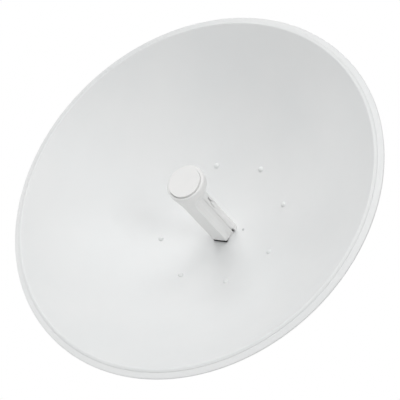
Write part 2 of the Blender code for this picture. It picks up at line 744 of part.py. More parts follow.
def jaw_outline():
    """Plan outline of a toothed jaw: flat back at zero and the V open towards +Y."""
    rise = math.tan(math.radians(JAW_V_ANGLE))
    top = JAW_APEX + JAW_V_HALF_WIDTH * rise
    half = [(0.0, JAW_APEX)]
    for i in range(JAW_TEETH):
        for share, depth in ((0.5, JAW_TOOTH_DEPTH), (1.0, 0.0)):
            x = JAW_V_HALF_WIDTH * (i + share) / JAW_TEETH
            half.append((x, JAW_APEX + x * rise - depth))
    half += [(JAW_HALF_WIDTH - JAW_CORNER, top), (JAW_HALF_WIDTH, top - JAW_CORNER),
             (JAW_HALF_WIDTH, 0.0)]
    return half + [(-x, y) for x, y in reversed(half[1:])]


def hollowed_jaw_mesh(blank):
    """A pressed jaw: the blank with its inside taken out, which leaves a back and two plates."""
    item = bpy.data.objects.new("jaw_blank", blank)
    GUIDES.objects.link(item)
    reach = JAW_HALF_WIDTH + JAW_PLATE
    inside = [(-reach, JAW_PLATE), (reach, JAW_PLATE), (reach, reach), (-reach, reach)]
    half = JAW_HEIGHT / 2 - JAW_PLATE
    tool = cutter("jaw_inside", plate_mesh("jaw_inside", [inside], -half, half), Matrix())
    combine(item, tool, "DIFFERENCE")
    mesh = evaluated_mesh(item, "jaw")
    bpy.data.objects.remove(item, do_unlink=True)
    return mesh


def build_clamps():
    """Two pairs of toothed jaws and the four long bolts that draw them together."""
    near = GAP - JAW_SEAT_DEPTH
    mast_y = near + JAW_APEX + MAST_RADIUS / math.cos(math.radians(JAW_V_ANGLE))
    far = 2 * mast_y - near
    blank = plate_mesh("jaw_blank", [jaw_outline()], -JAW_HEIGHT / 2, JAW_HEIGHT / 2)
    mesh = hollowed_jaw_mesh(blank)
    bar = round_bar_mesh("jaw_hole", CLAMP_HOLE_RADIUS, -CUT_REACH, far + CUT_REACH, SMALL_STEPS)
    for level, sign in (("upper", 1), ("lower", -1)):
        for name, y, turn in (("inner", near, 0.0), ("outer", far, math.pi)):
            item = add_mesh_object(f"{name}_jaw_{level}", mesh.copy(), ZINC)
            item.location = (0.0, y, sign * JAW_OFFSET)
            item.rotation_euler = (0.0, 0.0, turn)
            for side in (-1, 1):
                place = Matrix.Translation((side * CLAMP_BOLT_X, 0.0, sign * JAW_OFFSET))
                place = place @ Matrix.Rotation(-math.pi / 2, 4, "X")
                tool = cutter(f"jaw_hole_{name}_{level}_{side + 2}", bar, place)
                combine(item, tool, "DIFFERENCE")

    head = -PLATE - GAP
    nut = far + GAP
    mesh = bolt_with_nut_mesh("clamp_bolt", CLAMP_BOLT_RADIUS, CLAMP_HEX, (head - HEX_HEIGHT, head),
                              (nut, nut + CLAMP_NUT_HEIGHT), CLAMP_BOLT_END)
    for side, level, x, z in clamp_places():
        item = add_mesh_object(f"clamp_bolt_{level}_{side}", mesh, ZINC)
        item.location = (x, 0.0, z)
        item.rotation_euler = (-math.pi / 2, 0.0, 0.0)


clear_scene()
PARTS = new_collection("dish_antenna")
CUTTERS = new_collection("cutters")
GUIDES = new_collection("guides")
WHITE_PAINT = new_material("white_paint", (0.80, 0.81, 0.81), 0.38)
WHITE_PLASTIC = new_material("white_plastic", (0.82, 0.82, 0.81), 0.45)
ZINC = new_material("zinc_plated_steel", (0.62, 0.63, 0.64), 0.40, 0.9)
DISH = bpy.data.objects.new("dish_axis", None)
PARTS.objects.link(DISH)
DISH.matrix_world = dish_matrix()

build_reflector()
build_hub_plate()
build_ring_fasteners()
build_feed()
build_rear_housing()
build_tilt_frame()
build_mast_bracket()
build_tilt_bolts()
build_clamps()
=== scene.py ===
"""Looks of the parabolic dish antenna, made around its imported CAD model.

Metres, +Z up, and the beam points along -Y. Dish pieces are worked out in the dish's own
measures: a radius from the beam axis, and a height s along the beam from the lip's plane.
"""
import json
import math

import bmesh
import bpy
import numpy as np
from mathutils import Matrix, Vector
from mathutils.geometry import delaunay_2d_cdt


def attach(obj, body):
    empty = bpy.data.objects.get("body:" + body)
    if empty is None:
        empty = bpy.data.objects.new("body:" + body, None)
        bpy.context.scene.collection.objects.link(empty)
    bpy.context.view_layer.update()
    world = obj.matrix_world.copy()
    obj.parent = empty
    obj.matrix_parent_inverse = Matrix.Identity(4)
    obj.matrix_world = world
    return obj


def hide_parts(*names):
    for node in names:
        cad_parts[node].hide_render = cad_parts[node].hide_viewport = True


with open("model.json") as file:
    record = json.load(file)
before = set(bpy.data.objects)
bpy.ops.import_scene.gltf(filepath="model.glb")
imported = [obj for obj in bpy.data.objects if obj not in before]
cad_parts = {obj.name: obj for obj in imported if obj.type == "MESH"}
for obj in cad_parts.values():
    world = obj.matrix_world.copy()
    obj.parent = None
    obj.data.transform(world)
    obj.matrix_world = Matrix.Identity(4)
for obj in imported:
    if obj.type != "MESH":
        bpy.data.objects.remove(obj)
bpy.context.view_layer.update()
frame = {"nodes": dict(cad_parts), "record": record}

NODES = frame["nodes"]

# Reflector sheet
LIP_Y = -0.271
FOCAL_LENGTH = 0.155
SHEET = 0.0016
BOWL_RADIUS = 0.3091
NECK_HOLE_RADIUS = 0.0085
RIM_STEPS = ((0.0023, -70, 0.0020), (0.0009, -42, 0.0003), (0.0013, 52, None), (0.0012, -165, 0.0))
RIM_OUTSIDE = 0.3249
BOWL_RINGS = 56
AROUND_BOWL = 288

# Ring of bolts in the bowl
BOLT_COUNT = 8
BOLT_RING_RADIUS = 0.113
BOLT_FIRST_ANGLE = 22.5
BOLT_HEAD_RADIUS = 0.0046
BOLT_HEAD_HEIGHT = 0.0034
BOLT_END = -0.0105

# Hub plate
GAP = 0.0003
HUB_SHEET = 0.0025
HUB_OUTER_RADIUS = 0.127
HUB_BEND_RADIUS = 0.098
HUB_FLOOR_RADIUS = 0.088
HUB_FLOOR_DEPTH = -0.168
HUB_HOLE_RADIUS = 0.024

# Feed body, a section of (x, z) carried along the beam
FEED_BASE = -0.1526
FEED_FRONT = -0.0280
KEEL_BOTTOM = -0.0274
KEEL_HALF_WIDTH = 0.0132
KEEL_SHOULDER = -0.0170
KEEL_EDGE = 0.0012
FLANK_HOLLOW = 1.6
SEAM_HALF_WIDTH = 0.0184
SEAM_HEIGHT = -0.0082
SHELL_HALF_WIDTH = 0.0210
SHELL_WIDEST = -0.0010
SHELL_TOP = 0.0095
SHELL_FLATNESS = 2.6
SHELL_TUCK = 0.0022
SHELL_EDGE = 0.0003
BODY_EDGE = 0.0005
BASE_REACH = 0.010
BASE_GAP = 0.0002
KEEL_SLOT_TOP = -0.0235
KEEL_SLOT_RISE = 0.0047
# Black block of painted shade that fills the slot under the keel, and the rounding of its edges
KEEL_SHADE_HALF_WIDTH = 0.0126
KEEL_SHADE_LOW = -0.0282
KEEL_SHADE_HIGH = -0.0243
KEEL_SHADE_RISE = 0.0038
SHADE_BLOCK_EDGE = 0.0004
BODY_MIDDLE = -0.009
NECK_RADIUS = 0.0080

# Latch, slot and notch in each side of the feed's cover
LATCH_FRONT = -0.0504
LATCH_BACK = -0.0666
LATCH_LOW = -0.0046
LATCH_HIGH = 0.0010
LATCH_PROUD = 0.0006
LATCH_SUNK = 0.0030
LATCH_GAP = 0.0005
LATCH_CORNERS = (0.0026, 0.0006)
LATCH_ZONE_TOP = 0.0030
SLOT_FRONT = -0.0362
SLOT_LOW = -0.0030
SLOT_HIGH = -0.0004
SLOT_SUNK = 0.0080
NOTCH_FRONT = -0.1502
NOTCH_HIGH = -0.0048
NOTCH_SUNK = 0.0080
# Black blocks of painted shade in the notch on each side of the cover
NOTCH_SHADE_BACK = -0.1531
NOTCH_SHADE_FACE = -0.0030
WALL_RISE = 0.0003

# Feed cap
CAP_RADIUS = 0.0325
CAP_WIDEST = 0.0060
CAP_SHOULDER_RADIUS = 0.0290
CAP_SHOULDER = 0.0098
CAP_SIDE_END = 0.0
CAP_FLOOR = 0.0050
CAP_RECESS_RADIUS = 0.0278
CAP_DISC_RADIUS = 0.0273
CAP_DISC_FRONT = 0.0132
CAP_DISC_EDGE = 0.0005
CAP_DISC_DROP = 0.0007
CAP_RECESS_DROP = 0.0011
CAP_TURN = 2.5

# Small screws in the bowl, beside the feed
SIDE_SCREW = (0.0351, -0.0013)
SIDE_SCREW_RADIUS = 0.0021
SIDE_SCREW_HEIGHT = 0.0010

# Rear housing, its port door and its cable port
TAIL_HALF_WIDTH = 0.030
TAIL_BOTTOM = -0.036
TAIL_TOP = 0.032
TAIL_DEPTH = 0.050
TAIL_CORNER = 0.009
TAIL_SEAM = 0.014
DOOR_HALF_WIDTH = 0.022
DOOR_THICKNESS = 0.0025
DOOR_MARGIN = 0.006
PORT_HALF_WIDTH = 0.009
PORT_DEPTH = 0.020
PORT_CORNER = 0.004

# Tilt frame and mast bracket, both bent channels
PLATE = 0.003
BEND_RADIUS = 0.004
FRAME_INSIDE = 0.058
FRAME_HALF_HEIGHT = 0.044
FRAME_BACK = -0.022
FRAME_WINDOW = 0.040
FRAME_WINDOW_CORNER = 0.010
PIVOT_Y = -0.045
PIVOT_HEIGHT = 0.026
LOCK_DROP = 0.054
SLOT_SWEEP = 14
SLOT_HALF_WIDTH = 0.0036
PIVOT_HOLE_RADIUS = 0.0036
BRACKET_OUTSIDE = 0.0577
BRACKET_FRONT = -0.075
BRACKET_HALF_HEIGHT = 0.058
JAW_SEAT_DEPTH = 0.0008
PAD_HALF_HEIGHT = 0.0266
CHEEK_CORNER = 0.010

# Mast jaws and their bolts
MAST_RADIUS = 0.025
JAW_HEIGHT = 0.026
JAW_OFFSET = 0.040
JAW_HALF_WIDTH = 0.054
JAW_APEX = 0.0068
JAW_V_HALF_WIDTH = 0.034
JAW_V_ANGLE = 35
JAW_TEETH = 6
JAW_TOOTH_DEPTH = 0.0016
JAW_PLATE = 0.004
JAW_BEND = 0.005
JAW_CORNER = 0.003
JAW_BACK = GAP - JAW_SEAT_DEPTH
JAW_FAR = 2 * (JAW_BACK + JAW_APEX + MAST_RADIUS / math.cos(math.radians(JAW_V_ANGLE))) - JAW_BACK
CLAMP_BOLT_X = 0.044
CLAMP_BOLT_RADIUS = 0.0039
CLAMP_HOLE_RADIUS = 0.0045
CLAMP_BOLT_END = 0.100
CLAMP_THREAD_START = 0.032
HEX_RADIUS = 0.0075
HEX_HEIGHT = 0.0050
PIVOT_BOLT_RADIUS = 0.0031
PIVOT_TAIL = 0.0030
WASHER_RADIUS = 0.0086
WASHER_THICKNESS = 0.0013

# Rivets that hold the tilt frame to the hub plate
RIVET_X = 0.049
RIVET_Z = 0.034
RIVET_RADIUS = 0.0042
RIVET_HEIGHT = 0.0016

# Camera: where it stands, what it looks at, and how far it leans to its side
CAMERA_PLACE = (1.0200, -1.8365, -0.7246)
CAMERA_AIM = (0.0212, -0.2551, -0.0166)
CAMERA_ROLL = 18.3
CAMERA_LENS = 112.5
FLOOR_HEIGHT = -1.60

# Light: (elevation, azimuth from the beam towards +X, strength) of each wide soft source
SUN_SPREAD = 24
ROOM_GLOW = 0.000
SUNS = ((85, 0, 0.174), (62, -75, 0.174), (42, -25, 0.383), (42, 0, 0.252),
        (42, 25, 0.374), (22, -75, 0.147), (22, -25, 0.234), (22, 0, 0.453),
        (22, 25, 0.186), (22, 50, 0.184), (2, -75, 0.316), (2, -50, 0.150),
        (2, 50, 0.538), (2, 75, 0.210), (40, 150, 0.800), (40, -150, 0.800))


def solid(name, grids, material, smooth_angle=35):
    """A mesh from grids of points, each (points, rows closed, columns closed).

    Every cell of a grid is one quad. Points that coincide, as at a pole, are merged, and
    the faces are turned outwards."""
    vertices, quads, start = [], [], 0
    for points, rows_closed, columns_closed in grids:
        rows, columns = points.shape[:2]
        index = start + np.arange(rows * columns).reshape(rows, columns)
        if rows_closed:
            index = np.vstack([index, index[:1]])
        if columns_closed:
            index = np.hstack([index, index[:, :1]])
        quads.append(np.stack([index[:-1, :-1], index[:-1, 1:], index[1:, 1:], index[1:, :-1]],
                              -1).reshape(-1, 4))
        vertices.append(points.reshape(-1, 3))
        start += rows * columns
    mesh = bpy.data.meshes.new(name)
    mesh.from_pydata(np.vstack(vertices).tolist(), [], np.vstack(quads).tolist())
    return finished(name, mesh, material, smooth_angle)


def finished(name, mesh, material, smooth_angle=35):
    """Merge what coincides, turn the faces outwards, shade, and hand the piece to the frame."""
    work = bmesh.new()
    work.from_mesh(mesh)
    bmesh.ops.remove_doubles(work, verts=work.verts, dist=0.000002)
    bmesh.ops.recalc_face_normals(work, faces=work.faces)
    work.to_mesh(mesh)
    work.free()
    mesh.shade_smooth()
    mesh.set_sharp_from_angle(angle=math.radians(smooth_angle))
    mesh.materials.clear()
    mesh.materials.append(material)
    piece = bpy.data.objects.new(name, mesh)
    bpy.context.scene.collection.objects.link(piece)
    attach(piece, "root")
    return piece


def dish_points(radius, height, angle):
    """Places from a radius, a height along the beam and an angle from the top, to the right."""
    radius, height, angle = np.broadcast_arrays(radius, height, angle)
    return np.stack([radius * np.sin(angle), LIP_Y - height, radius * np.cos(angle)], -1)


def turned(name, profile, material, around=96, closed=False, smooth_angle=35):
    """A profile of (radius, height) turned about the beam axis."""
    profile = np.array(profile, float)
    angle = np.arange(around) * 2 * math.pi / around
    grid = dish_points(profile[:, :1], profile[:, 1:], angle[None, :])
    return solid(name, [(grid, closed, True)], material, smooth_angle)


def bowl_height(radius):
    """Height of the bowl's front: a parabola whose focus is its focal length ahead."""
    return (radius ** 2 - 4 * FOCAL_LENGTH ** 2) / (4 * FOCAL_LENGTH)


def bowl_slope(radius):
    """Angle of the bowl's front at a radius, from flat."""
    return np.arctan(radius / (2 * FOCAL_LENGTH))


def carry_round(path, heading, radius, turn, step=6):
    """Carry a path on round an arc, in degrees: a positive turn is to the left."""
    side = 1 if turn > 0 else -1
    x, y = path[-1]
    centre = (x - side * radius * math.sin(heading), y + side * radius * math.cos(heading))
    angles = heading + np.radians(np.linspace(0, turn, max(3, round(abs(turn) / step)) + 1)[1:])
    path += zip(centre[0] + side * radius * np.sin(angles), centre[1] - side * radius * np.cos(angles))
    return angles[-1]


def carry_straight(path, heading, length, steps=1):
    """Carry a path straight on."""
    x, y = path[-1]
    for i in range(1, steps + 1):
        reach = length * i / steps
        path.append((x + reach * math.cos(heading), y + reach * math.sin(heading)))


def sheet_section(path, thickness):
    """A closed section of even thickness about a path, with its two cut edges rounded."""
    path = np.array(path, float)
    along = np.gradient(path, axis=0)
    along /= np.linalg.norm(along, axis=1, keepdims=True)
    across = np.stack([-along[:, 1], along[:, 0]], 1) * thickness / 2
    turn = np.radians(np.linspace(90, -90, 7)[1:-1])[:, None]
    far = path[-1] + np.sin(turn) * across[-1] + np.cos(turn) * along[-1] * thickness / 2
    near = path[0] - np.sin(turn) * across[0] - np.cos(turn) * along[0] * thickness / 2
    return np.vstack([path + across, far, (path - across)[::-1], near])


def rim_path(path):
    """From the bowl's edge over the lip, down a short wall into the groove, out along the
    flange and round the folded edge. Each step is an arc and then a straight run, and the
    flange's run is what the outer edge leaves for it."""
    heading = bowl_slope(BOWL_RADIUS)
    for i, (radius, turn, length) in enumerate(RIM_STEPS):
        heading = carry_round(path, heading, radius, turn)
        if length is None:
            edge_radius = RIM_STEPS[i + 1][0]
            across = RIM_OUTSIDE - SHEET / 2 - edge_radius - edge_radius * math.sin(heading) - path[-1][0]
            length = across / math.cos(heading)
        if length:
            carry_straight(path, heading, length, 4)
    return path


def make_reflector(paint):
    """The pressed bowl: the middle of its sheet is the parabola moved back by half a
    thickness along the surface's normal, carried on as the rim's path."""
    radius = np.linspace(NECK_HOLE_RADIUS, BOWL_RADIUS, BOWL_RINGS)
    slope = bowl_slope(radius)
    path = list(zip(radius + SHEET / 2 * np.sin(slope), bowl_height(radius) - SHEET / 2 * np.cos(slope)))
    bowl = turned("bowl_sheet", sheet_section(rim_path(path), SHEET), paint, AROUND_BOWL, True,
                  50)
    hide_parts("reflector")


def make_hub_plate(paint):
    """The pressed pan behind the bowl: a flat floor, a round bend, a cone and a flange that
    follows the bowl's back."""
    drop = SHEET + GAP + HUB_SHEET / 2
    floor = HUB_FLOOR_DEPTH + HUB_SHEET / 2
    radius = np.linspace(HUB_BEND_RADIUS, HUB_OUTER_RADIUS - HUB_SHEET / 2, 9)
    slope = bowl_slope(radius)
    flange = np.stack([radius + drop * np.sin(slope), bowl_height(radius) - drop * np.cos(slope)], 1)
    corners = np.vstack([[[HUB_HOLE_RADIUS + HUB_SHEET / 2, floor], [HUB_FLOOR_RADIUS, floor]], flange])
    path = rounded_path(corners, {1: 0.006, 2: 0.005})
    pan = turned("hub_pan", sheet_section(path, HUB_SHEET), paint, 192, True, 50)
    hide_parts("hub_plate")


def rounded_path(corners, radii, steps=6):
    """A path through corners, with some of them rounded to a radius by an arc."""
    path = []
    for i, corner in enumerate(corners):
        if i not in radii:
            path.append(tuple(corner))
            continue
        before = corners[i - 1] - corner
        after = corners[i + 1] - corner
        before /= np.linalg.norm(before)
        after /= np.linalg.norm(after)
        half = math.acos(float(np.clip(before @ after, -1, 1))) / 2
        reach = radii[i] / math.tan(half)
        middle = corner + (before + after) / np.linalg.norm(before + after) * radii[i] / math.sin(half)
        first = corner + before * reach - middle
        last = corner + after * reach - middle
        for share in np.linspace(0, 1, steps + 1):
            ray = first * (1 - share) + last * share
            path.append(tuple(middle + ray / np.linalg.norm(ray) * radii[i]))
    return path


def ring_places(radius, height, first_angle, count, slope=0.0):
    """Matrices round the beam axis, whose z leans inwards from the beam by a slope."""
    places = []
    for i in range(count):
        angle = math.radians(first_angle) + 2 * math.pi * i / count
        lean = Matrix.Rotation(-slope, 4, "Y")
        spin = Matrix.Rotation(math.pi / 2 - angle, 4, "Z")
        dish = Matrix.Translation((0, LIP_Y, 0)) @ Matrix.Rotation(math.pi / 2, 4, "X")
        places.append(dish @ spin @ Matrix.Translation((radius, 0, height)) @ lean)
    return places


def placed(points, matrix):
    """Points carried through a matrix."""
    turn = np.array(matrix.to_3x3())
    return points @ turn.T + np.array(matrix.translation)


def round_grid(profile, around=32):
    """A profile of (radius, height) turned about its own z."""
    profile = np.array(profile, float)
    angle = np.arange(around) * 2 * math.pi / around
    return np.stack([profile[:, :1] * np.cos(angle), profile[:, :1] * np.sin(angle),
                     np.repeat(profile[:, 1:], around, 1)], -1)


def hexagon_grid(corner, low, high, chamfer, bore=0.0, around=48):
    """A hexagon prism with chamfered corners, its radius at each angle the smaller of the
    hexagon's own and of a cone's that comes in over the two end faces."""
    angle = np.arange(around) * 2 * math.pi / around
    flat = corner * math.cos(math.pi / 6)
    hexagon = flat / np.cos((angle + math.pi / 6) % (math.pi / 3) - math.pi / 6)
    heights = [low, low, low + chamfer * 0.5, low + chamfer, high - chamfer, high - chamfer * 0.5, high, high]
    cones = [bore, flat * 0.96, flat * 0.96 + (corner - flat * 0.96) * 0.5, corner,
             corner, flat * 0.96 + (corner - flat * 0.96) * 0.5, flat * 0.96, bore]
    rows = [np.minimum(hexagon, cone) for cone in cones]
    radius = np.array(rows)
    return np.stack([radius * np.cos(angle), radius * np.sin(angle),
                     np.repeat(np.array(heights)[:, None], around, 1)], -1)


def thread_grid(radius, low, high, pitch, around=20, per_turn=5):
    """A screw thread: the radius falls and rises once a pitch, and lags round the axis, and
    both ends are drawn in to a chamfer and closed."""
    rows = max(4, int((high - low) / pitch * per_turn))
    height = np.linspace(low, high, rows)[:, None]
    angle = np.arange(around)[None, :] * 2 * math.pi / around
    wave = np.abs(((height / pitch - angle / (2 * math.pi)) % 1.0) * 2 - 1)
    depth = pitch * 0.55
    taper = np.minimum(1.0, np.minimum(height - low, high - height) / pitch)
    grid_radius = radius - depth * np.maximum(wave, 1 - taper)
    body = np.stack([grid_radius * np.cos(angle), grid_radius * np.sin(angle),
                     np.broadcast_to(height, grid_radius.shape)], -1)
    first = body[:1] * np.array([0, 0, 1.0])
    last = body[-1:] * np.array([0, 0, 1.0])
    return np.concatenate([first, body, last])


def washer_profile(inner, outer, low, high, edge=0.0003):
    """Section of a flat washer with its outer edges broken."""
    return [(inner, low), (outer - edge, low), (outer, low + edge), (outer, high - edge),
            (outer - edge, high), (inner, high)]


def make_ring_fasteners(paint, zinc):
    """Round-headed bolts in the bowl, each a dome that falls as a quarter ellipse to a short
    straight skirt, and the nuts and thread ends behind."""
    turn = np.radians(np.linspace(90, 12, 9))
    dome = list(zip(BOLT_HEAD_RADIUS * np.cos(turn), BOLT_HEAD_HEIGHT * np.sin(turn)))[1:]
    head = round_grid(np.vstack([[(0.0, BOLT_HEAD_HEIGHT)], dome, [(BOLT_HEAD_RADIUS, 0.0), (0.0, 0.0)]]))
    back = -(SHEET + GAP + HUB_SHEET + GAP)
    nut = hexagon_grid(0.0040, back - 0.0032, back, 0.0005, 0.0017)
    thread = thread_grid(0.00195, BOLT_END, back - 0.0004, 0.0007, 16, 4)
    height = float(bowl_height(BOLT_RING_RADIUS))
    slope = float(bowl_slope(BOLT_RING_RADIUS))
    places = ring_places(BOLT_RING_RADIUS, height, BOLT_FIRST_ANGLE, BOLT_COUNT, slope)
    for i, place in enumerate(places, 1):
        bolt = solid(f"bowl_bolt_{i}", [(placed(head, place), False, True)], paint, 40)
        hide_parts(f"ring_bolt_{i}")
        grids = [(placed(nut, place), True, True), (placed(thread, place), False, True)]
        back_nut = solid(f"bowl_nut_{i}", grids, zinc, 30)
        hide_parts(f"ring_nut_{i}")


def stacked(outline, levels):
    """Rows of points (u, v, w): the outline, drawn inwards by an inset at each height w, and
    closed to its middle at both ends. The levels are (inset, height)."""
    outline = np.asarray(outline, float)
    along = np.roll(outline, -1, 0) - np.roll(outline, 1, 0)
    along /= np.maximum(np.linalg.norm(along, axis=1, keepdims=True), 1e-12)
    inward = np.stack([-along[:, 1], along[:, 0]], 1)
    inset, height = np.array(levels, float).T
    ring = outline[None] + inward[None] * inset[:, None, None]
    rows = np.concatenate([ring, np.broadcast_to(height[:, None, None], ring.shape[:2] + (1,))], -1)
    middle = outline.mean(0)
    ends = [np.broadcast_to([*middle, value], (1, len(outline), 3)) for value in (height[0], height[-1])]
    return np.concatenate([ends[0], rows, ends[1]])


def edge_levels(low, high, low_edge, high_edge, steps=3):
    """Levels for a straight side whose two ends are rounded over by a quarter circle each."""
    levels = []
    for height, edge, way in ((low, low_edge, 1), (high, high_edge, -1)):
        turn = np.radians(np.linspace(0, 90, steps + 1)) if edge else np.zeros(1)
        rows = [(edge + 0.0003, height)] if edge else []
        rows += list(zip(edge * (1 - np.sin(turn)), height + way * edge * (1 - np.cos(turn))))
        levels += rows[::way]
    return levels


def beam_frame(points):
    """Points (x, z, s) of a section carried along the beam, as places."""
    return np.stack([points[..., 0], LIP_Y - points[..., 2], points[..., 1]], -1)


def both_sides(half):
    """A right half outline from the bottom's middle to the top's, with its mirror image."""
    half = np.asarray(half, float)
    return np.vstack([half, (half[1:-1] * [-1, 1])[::-1]])


def by_steps(low, high, spacing):
    """Even places from one value to another, no further apart than a spacing."""
    return np.linspace(low, high, max(2, math.ceil((high - low) / spacing) + 1))


def keel_half():
    """Flat bottom, an edge of a quarter circle, a short upright side, and a flank whose width
    grows as a power of its height up to the seam."""
    turn = np.radians(np.linspace(-90, 0, 7))
    edge = np.stack([KEEL_HALF_WIDTH - KEEL_EDGE * (1 - np.cos(turn)),
                     KEEL_BOTTOM + KEEL_EDGE * (1 + np.sin(turn))], 1)
    share = np.linspace(0, 1, 18)
    flank = np.stack([KEEL_HALF_WIDTH + (SEAM_HALF_WIDTH - KEEL_HALF_WIDTH) * share ** FLANK_HOLLOW,
                      KEEL_SHOULDER + (SEAM_HEIGHT - KEEL_SHOULDER) * share], 1)
    bottom = np.stack([np.linspace(0, 0.9, 5) * KEEL_HALF_WIDTH, np.full(5, KEEL_BOTTOM)], 1)
    return np.vstack([bottom, edge, flank])


def shell_width(height):
    """Half width of the cover at a height: drawn in towards the seam by a cube, and above its
    widest a superellipse."""
    below = np.clip((SHELL_WIDEST - height) / (SHELL_WIDEST - SEAM_HEIGHT - GAP), 0, 1)
    above = np.clip((height - SHELL_WIDEST) / (SHELL_TOP - SHELL_WIDEST), 0, 1)
    return SHELL_HALF_WIDTH * (1 - above ** SHELL_FLATNESS) ** (1 / SHELL_FLATNESS) - SHELL_TUCK * below ** 3


def shell_half():
    """The cover's side in fine even steps where the latch is, then over the crown by angle."""
    low = SEAM_HEIGHT + GAP
    turn = np.radians(np.linspace(-70, 0, 3))
    edge = np.stack([shell_width(low + SHELL_EDGE) - SHELL_EDGE * (1 - np.cos(turn)),
                     low + SHELL_EDGE * (1 + np.sin(turn))], 1)
    height = by_steps(low + SHELL_EDGE, LATCH_ZONE_TOP, 0.00016)[1:]
    side = np.stack([shell_width(height), height], 1)
    start = math.asin(((LATCH_ZONE_TOP - SHELL_WIDEST) / (SHELL_TOP - SHELL_WIDEST)) ** (SHELL_FLATNESS / 2))
    angle = np.linspace(start, math.pi / 2, 34)[1:]
    power = 2 / SHELL_FLATNESS
    crown = np.stack([SHELL_HALF_WIDTH * np.maximum(np.cos(angle), 0) ** power,
                      SHELL_WIDEST + (SHELL_TOP - SHELL_WIDEST) * np.sin(angle) ** power], 1)
    crown[-1, 0] = 0
    return np.vstack([edge, side, crown])


def box_distance(u, v, low, high, corners=(0.0, 0.0)):
    """Distance outside a box in (u, v), below zero inside, with a corner radius at its low
    and its high end in u."""
    radius = np.where(u < (low[0] + high[0]) / 2, *corners)
    out_u = np.abs(u - (low[0] + high[0]) / 2) - (high[0] - low[0]) / 2 + radius
    out_v = np.abs(v - (low[1] + high[1]) / 2) - (high[1] - low[1]) / 2 + radius
    outside = np.hypot(np.maximum(out_u, 0), np.maximum(out_v, 0))
    return outside + np.minimum(np.maximum(out_u, out_v), 0) - radius


def sunk(distance, depth, rise=WALL_RISE):
    """Depth of a pocket: all of it inside, none outside, and a smooth step between."""
    share = np.clip(0.5 - distance / rise, 0, 1)
    return depth * share * share * (3 - 2 * share)


def side_depth(s, height):
    """How far the cover's side is let in: the latch's pocket, the open slot and the notch."""
    grown = LATCH_GAP
    pocket = box_distance(s, height, (LATCH_BACK - grown, LATCH_LOW - grown),
                          (LATCH_FRONT + grown, LATCH_HIGH + grown), np.array(LATCH_CORNERS) + grown)
    slot = box_distance(s, height, (LATCH_FRONT, SLOT_LOW), (SLOT_FRONT, SLOT_HIGH), (0.0, 0.0008))
    notch = box_distance(s, height, (FEED_BASE * 2, SEAM_HEIGHT * 2), (NOTCH_FRONT, NOTCH_HIGH), (0.0, 0.0005))
    depth = np.maximum(sunk(pocket, LATCH_SUNK), sunk(slot, SLOT_SUNK))
    return np.maximum(depth, sunk(notch, NOTCH_SUNK))


def seated(rows, slot_rise=0.0):
    """Draw the last few millimetres of a body down onto the bowl: its base follows the bowl's
    own height, and stands clear of it by a slot under the keel's flat. The move fades out
    evenly over the reach."""
    share = np.clip((FEED_BASE + BASE_REACH - rows[..., 2]) / BASE_REACH, 0, 1)
    aim = bowl_height(np.hypot(rows[..., 0], rows[..., 1])) + BASE_GAP
    aim = aim + slot_rise * np.clip((KEEL_SLOT_TOP - rows[..., 1]) / 0.0006, 0, 1)
    rows[..., 2] += share * (aim - FEED_BASE)


def make_cover(plastic):
    """The upper cover: its outline carried along the beam, each side let in by its depth."""
    half = np.vstack([[[0.0, SEAM_HEIGHT + GAP]], shell_half()])
    outline = both_sides(half)
    zones = (by_steps(FEED_BASE + 2 * BODY_EDGE, NOTCH_FRONT - 0.0005, 0.0010),
             by_steps(NOTCH_FRONT - 0.0005, NOTCH_FRONT + 0.0005, 0.0001),
             by_steps(NOTCH_FRONT + 0.0005, LATCH_BACK - 0.0016, 0.0070),
             by_steps(LATCH_BACK - 0.0016, LATCH_FRONT + 0.0016, 0.0002),
             by_steps(LATCH_FRONT + 0.0016, SLOT_FRONT - 0.0010, 0.0020),
             by_steps(SLOT_FRONT - 0.0010, SLOT_FRONT + 0.0005, 0.0001),
             by_steps(SLOT_FRONT + 0.0005, FEED_FRONT, 0.0020))
    straight = np.unique(np.round(np.concatenate(zones), 7))
    levels = edge_levels(FEED_BASE, FEED_FRONT, BODY_EDGE, 0.0)[:-1] + [(0.0, s) for s in straight]
    rows = stacked(outline, levels)
    seated(rows)
    side = np.where(np.abs(outline[:, 0]) > SHELL_HALF_WIDTH / 2, np.sign(outline[:, 0]), 0)
    let_in = side_depth(rows[1:-1, :, 2], rows[1:-1, :, 1]) * (rows[1:-1, :, 1] < LATCH_ZONE_TOP)
    rows[1:-1, :, 0] -= side * let_in
    cover = solid("feed_upper_body", [(beam_frame(rows), False, True)], plastic, 35)
    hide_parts("feed_cover")


def make_latches(plastic):
    """A latch in each pocket: a long tab with a round back end, a softly rounded face and
    three fine grip ridges across its front."""
    low, high = (LATCH_BACK, LATCH_LOW), (LATCH_FRONT, LATCH_HIGH)
    corners = np.array([low, (high[0], low[1]), high, (low[0], high[1])])
    radii = [LATCH_CORNERS[0], LATCH_CORNERS[1], LATCH_CORNERS[1], LATCH_CORNERS[0]]
    outline = rounded_outline(corners, radii, 8)
    levels = edge_levels(-LATCH_SUNK, LATCH_PROUD, 0.0, 0.0005)
    rows = stacked(outline, levels)
    ridges = [ridge_grid(LATCH_FRONT - 0.0012 - 0.0010 * i, LATCH_LOW + 0.0010, LATCH_HIGH - 0.0010)
              for i in range(3)]
    for name, side in (("right", 1), ("left", -1)):
        grids = [(side_frame(grid, side), False, True) for grid in [rows] + ridges]
        latch = solid(f"feed_side_latch_{name}", grids, plastic, 35)
        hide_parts(f"feed_latch_{name}")


def ridge_grid(s, low, high, radius=0.00025, steps=6):
    """A half round bar across the latch, its radius eased to nothing at both ends."""
    place = np.linspace(low, high, 9)
    share = np.sin(np.linspace(0, math.pi, 9)) ** 0.25
    turn = np.arange(2 * steps) * math.pi / steps
    radius_here = radius * share[:, None]
    return np.stack([s + radius_here * np.cos(turn), np.repeat(place[:, None], 2 * steps, 1),
                     LATCH_PROUD + radius_here * np.sin(turn)], -1)


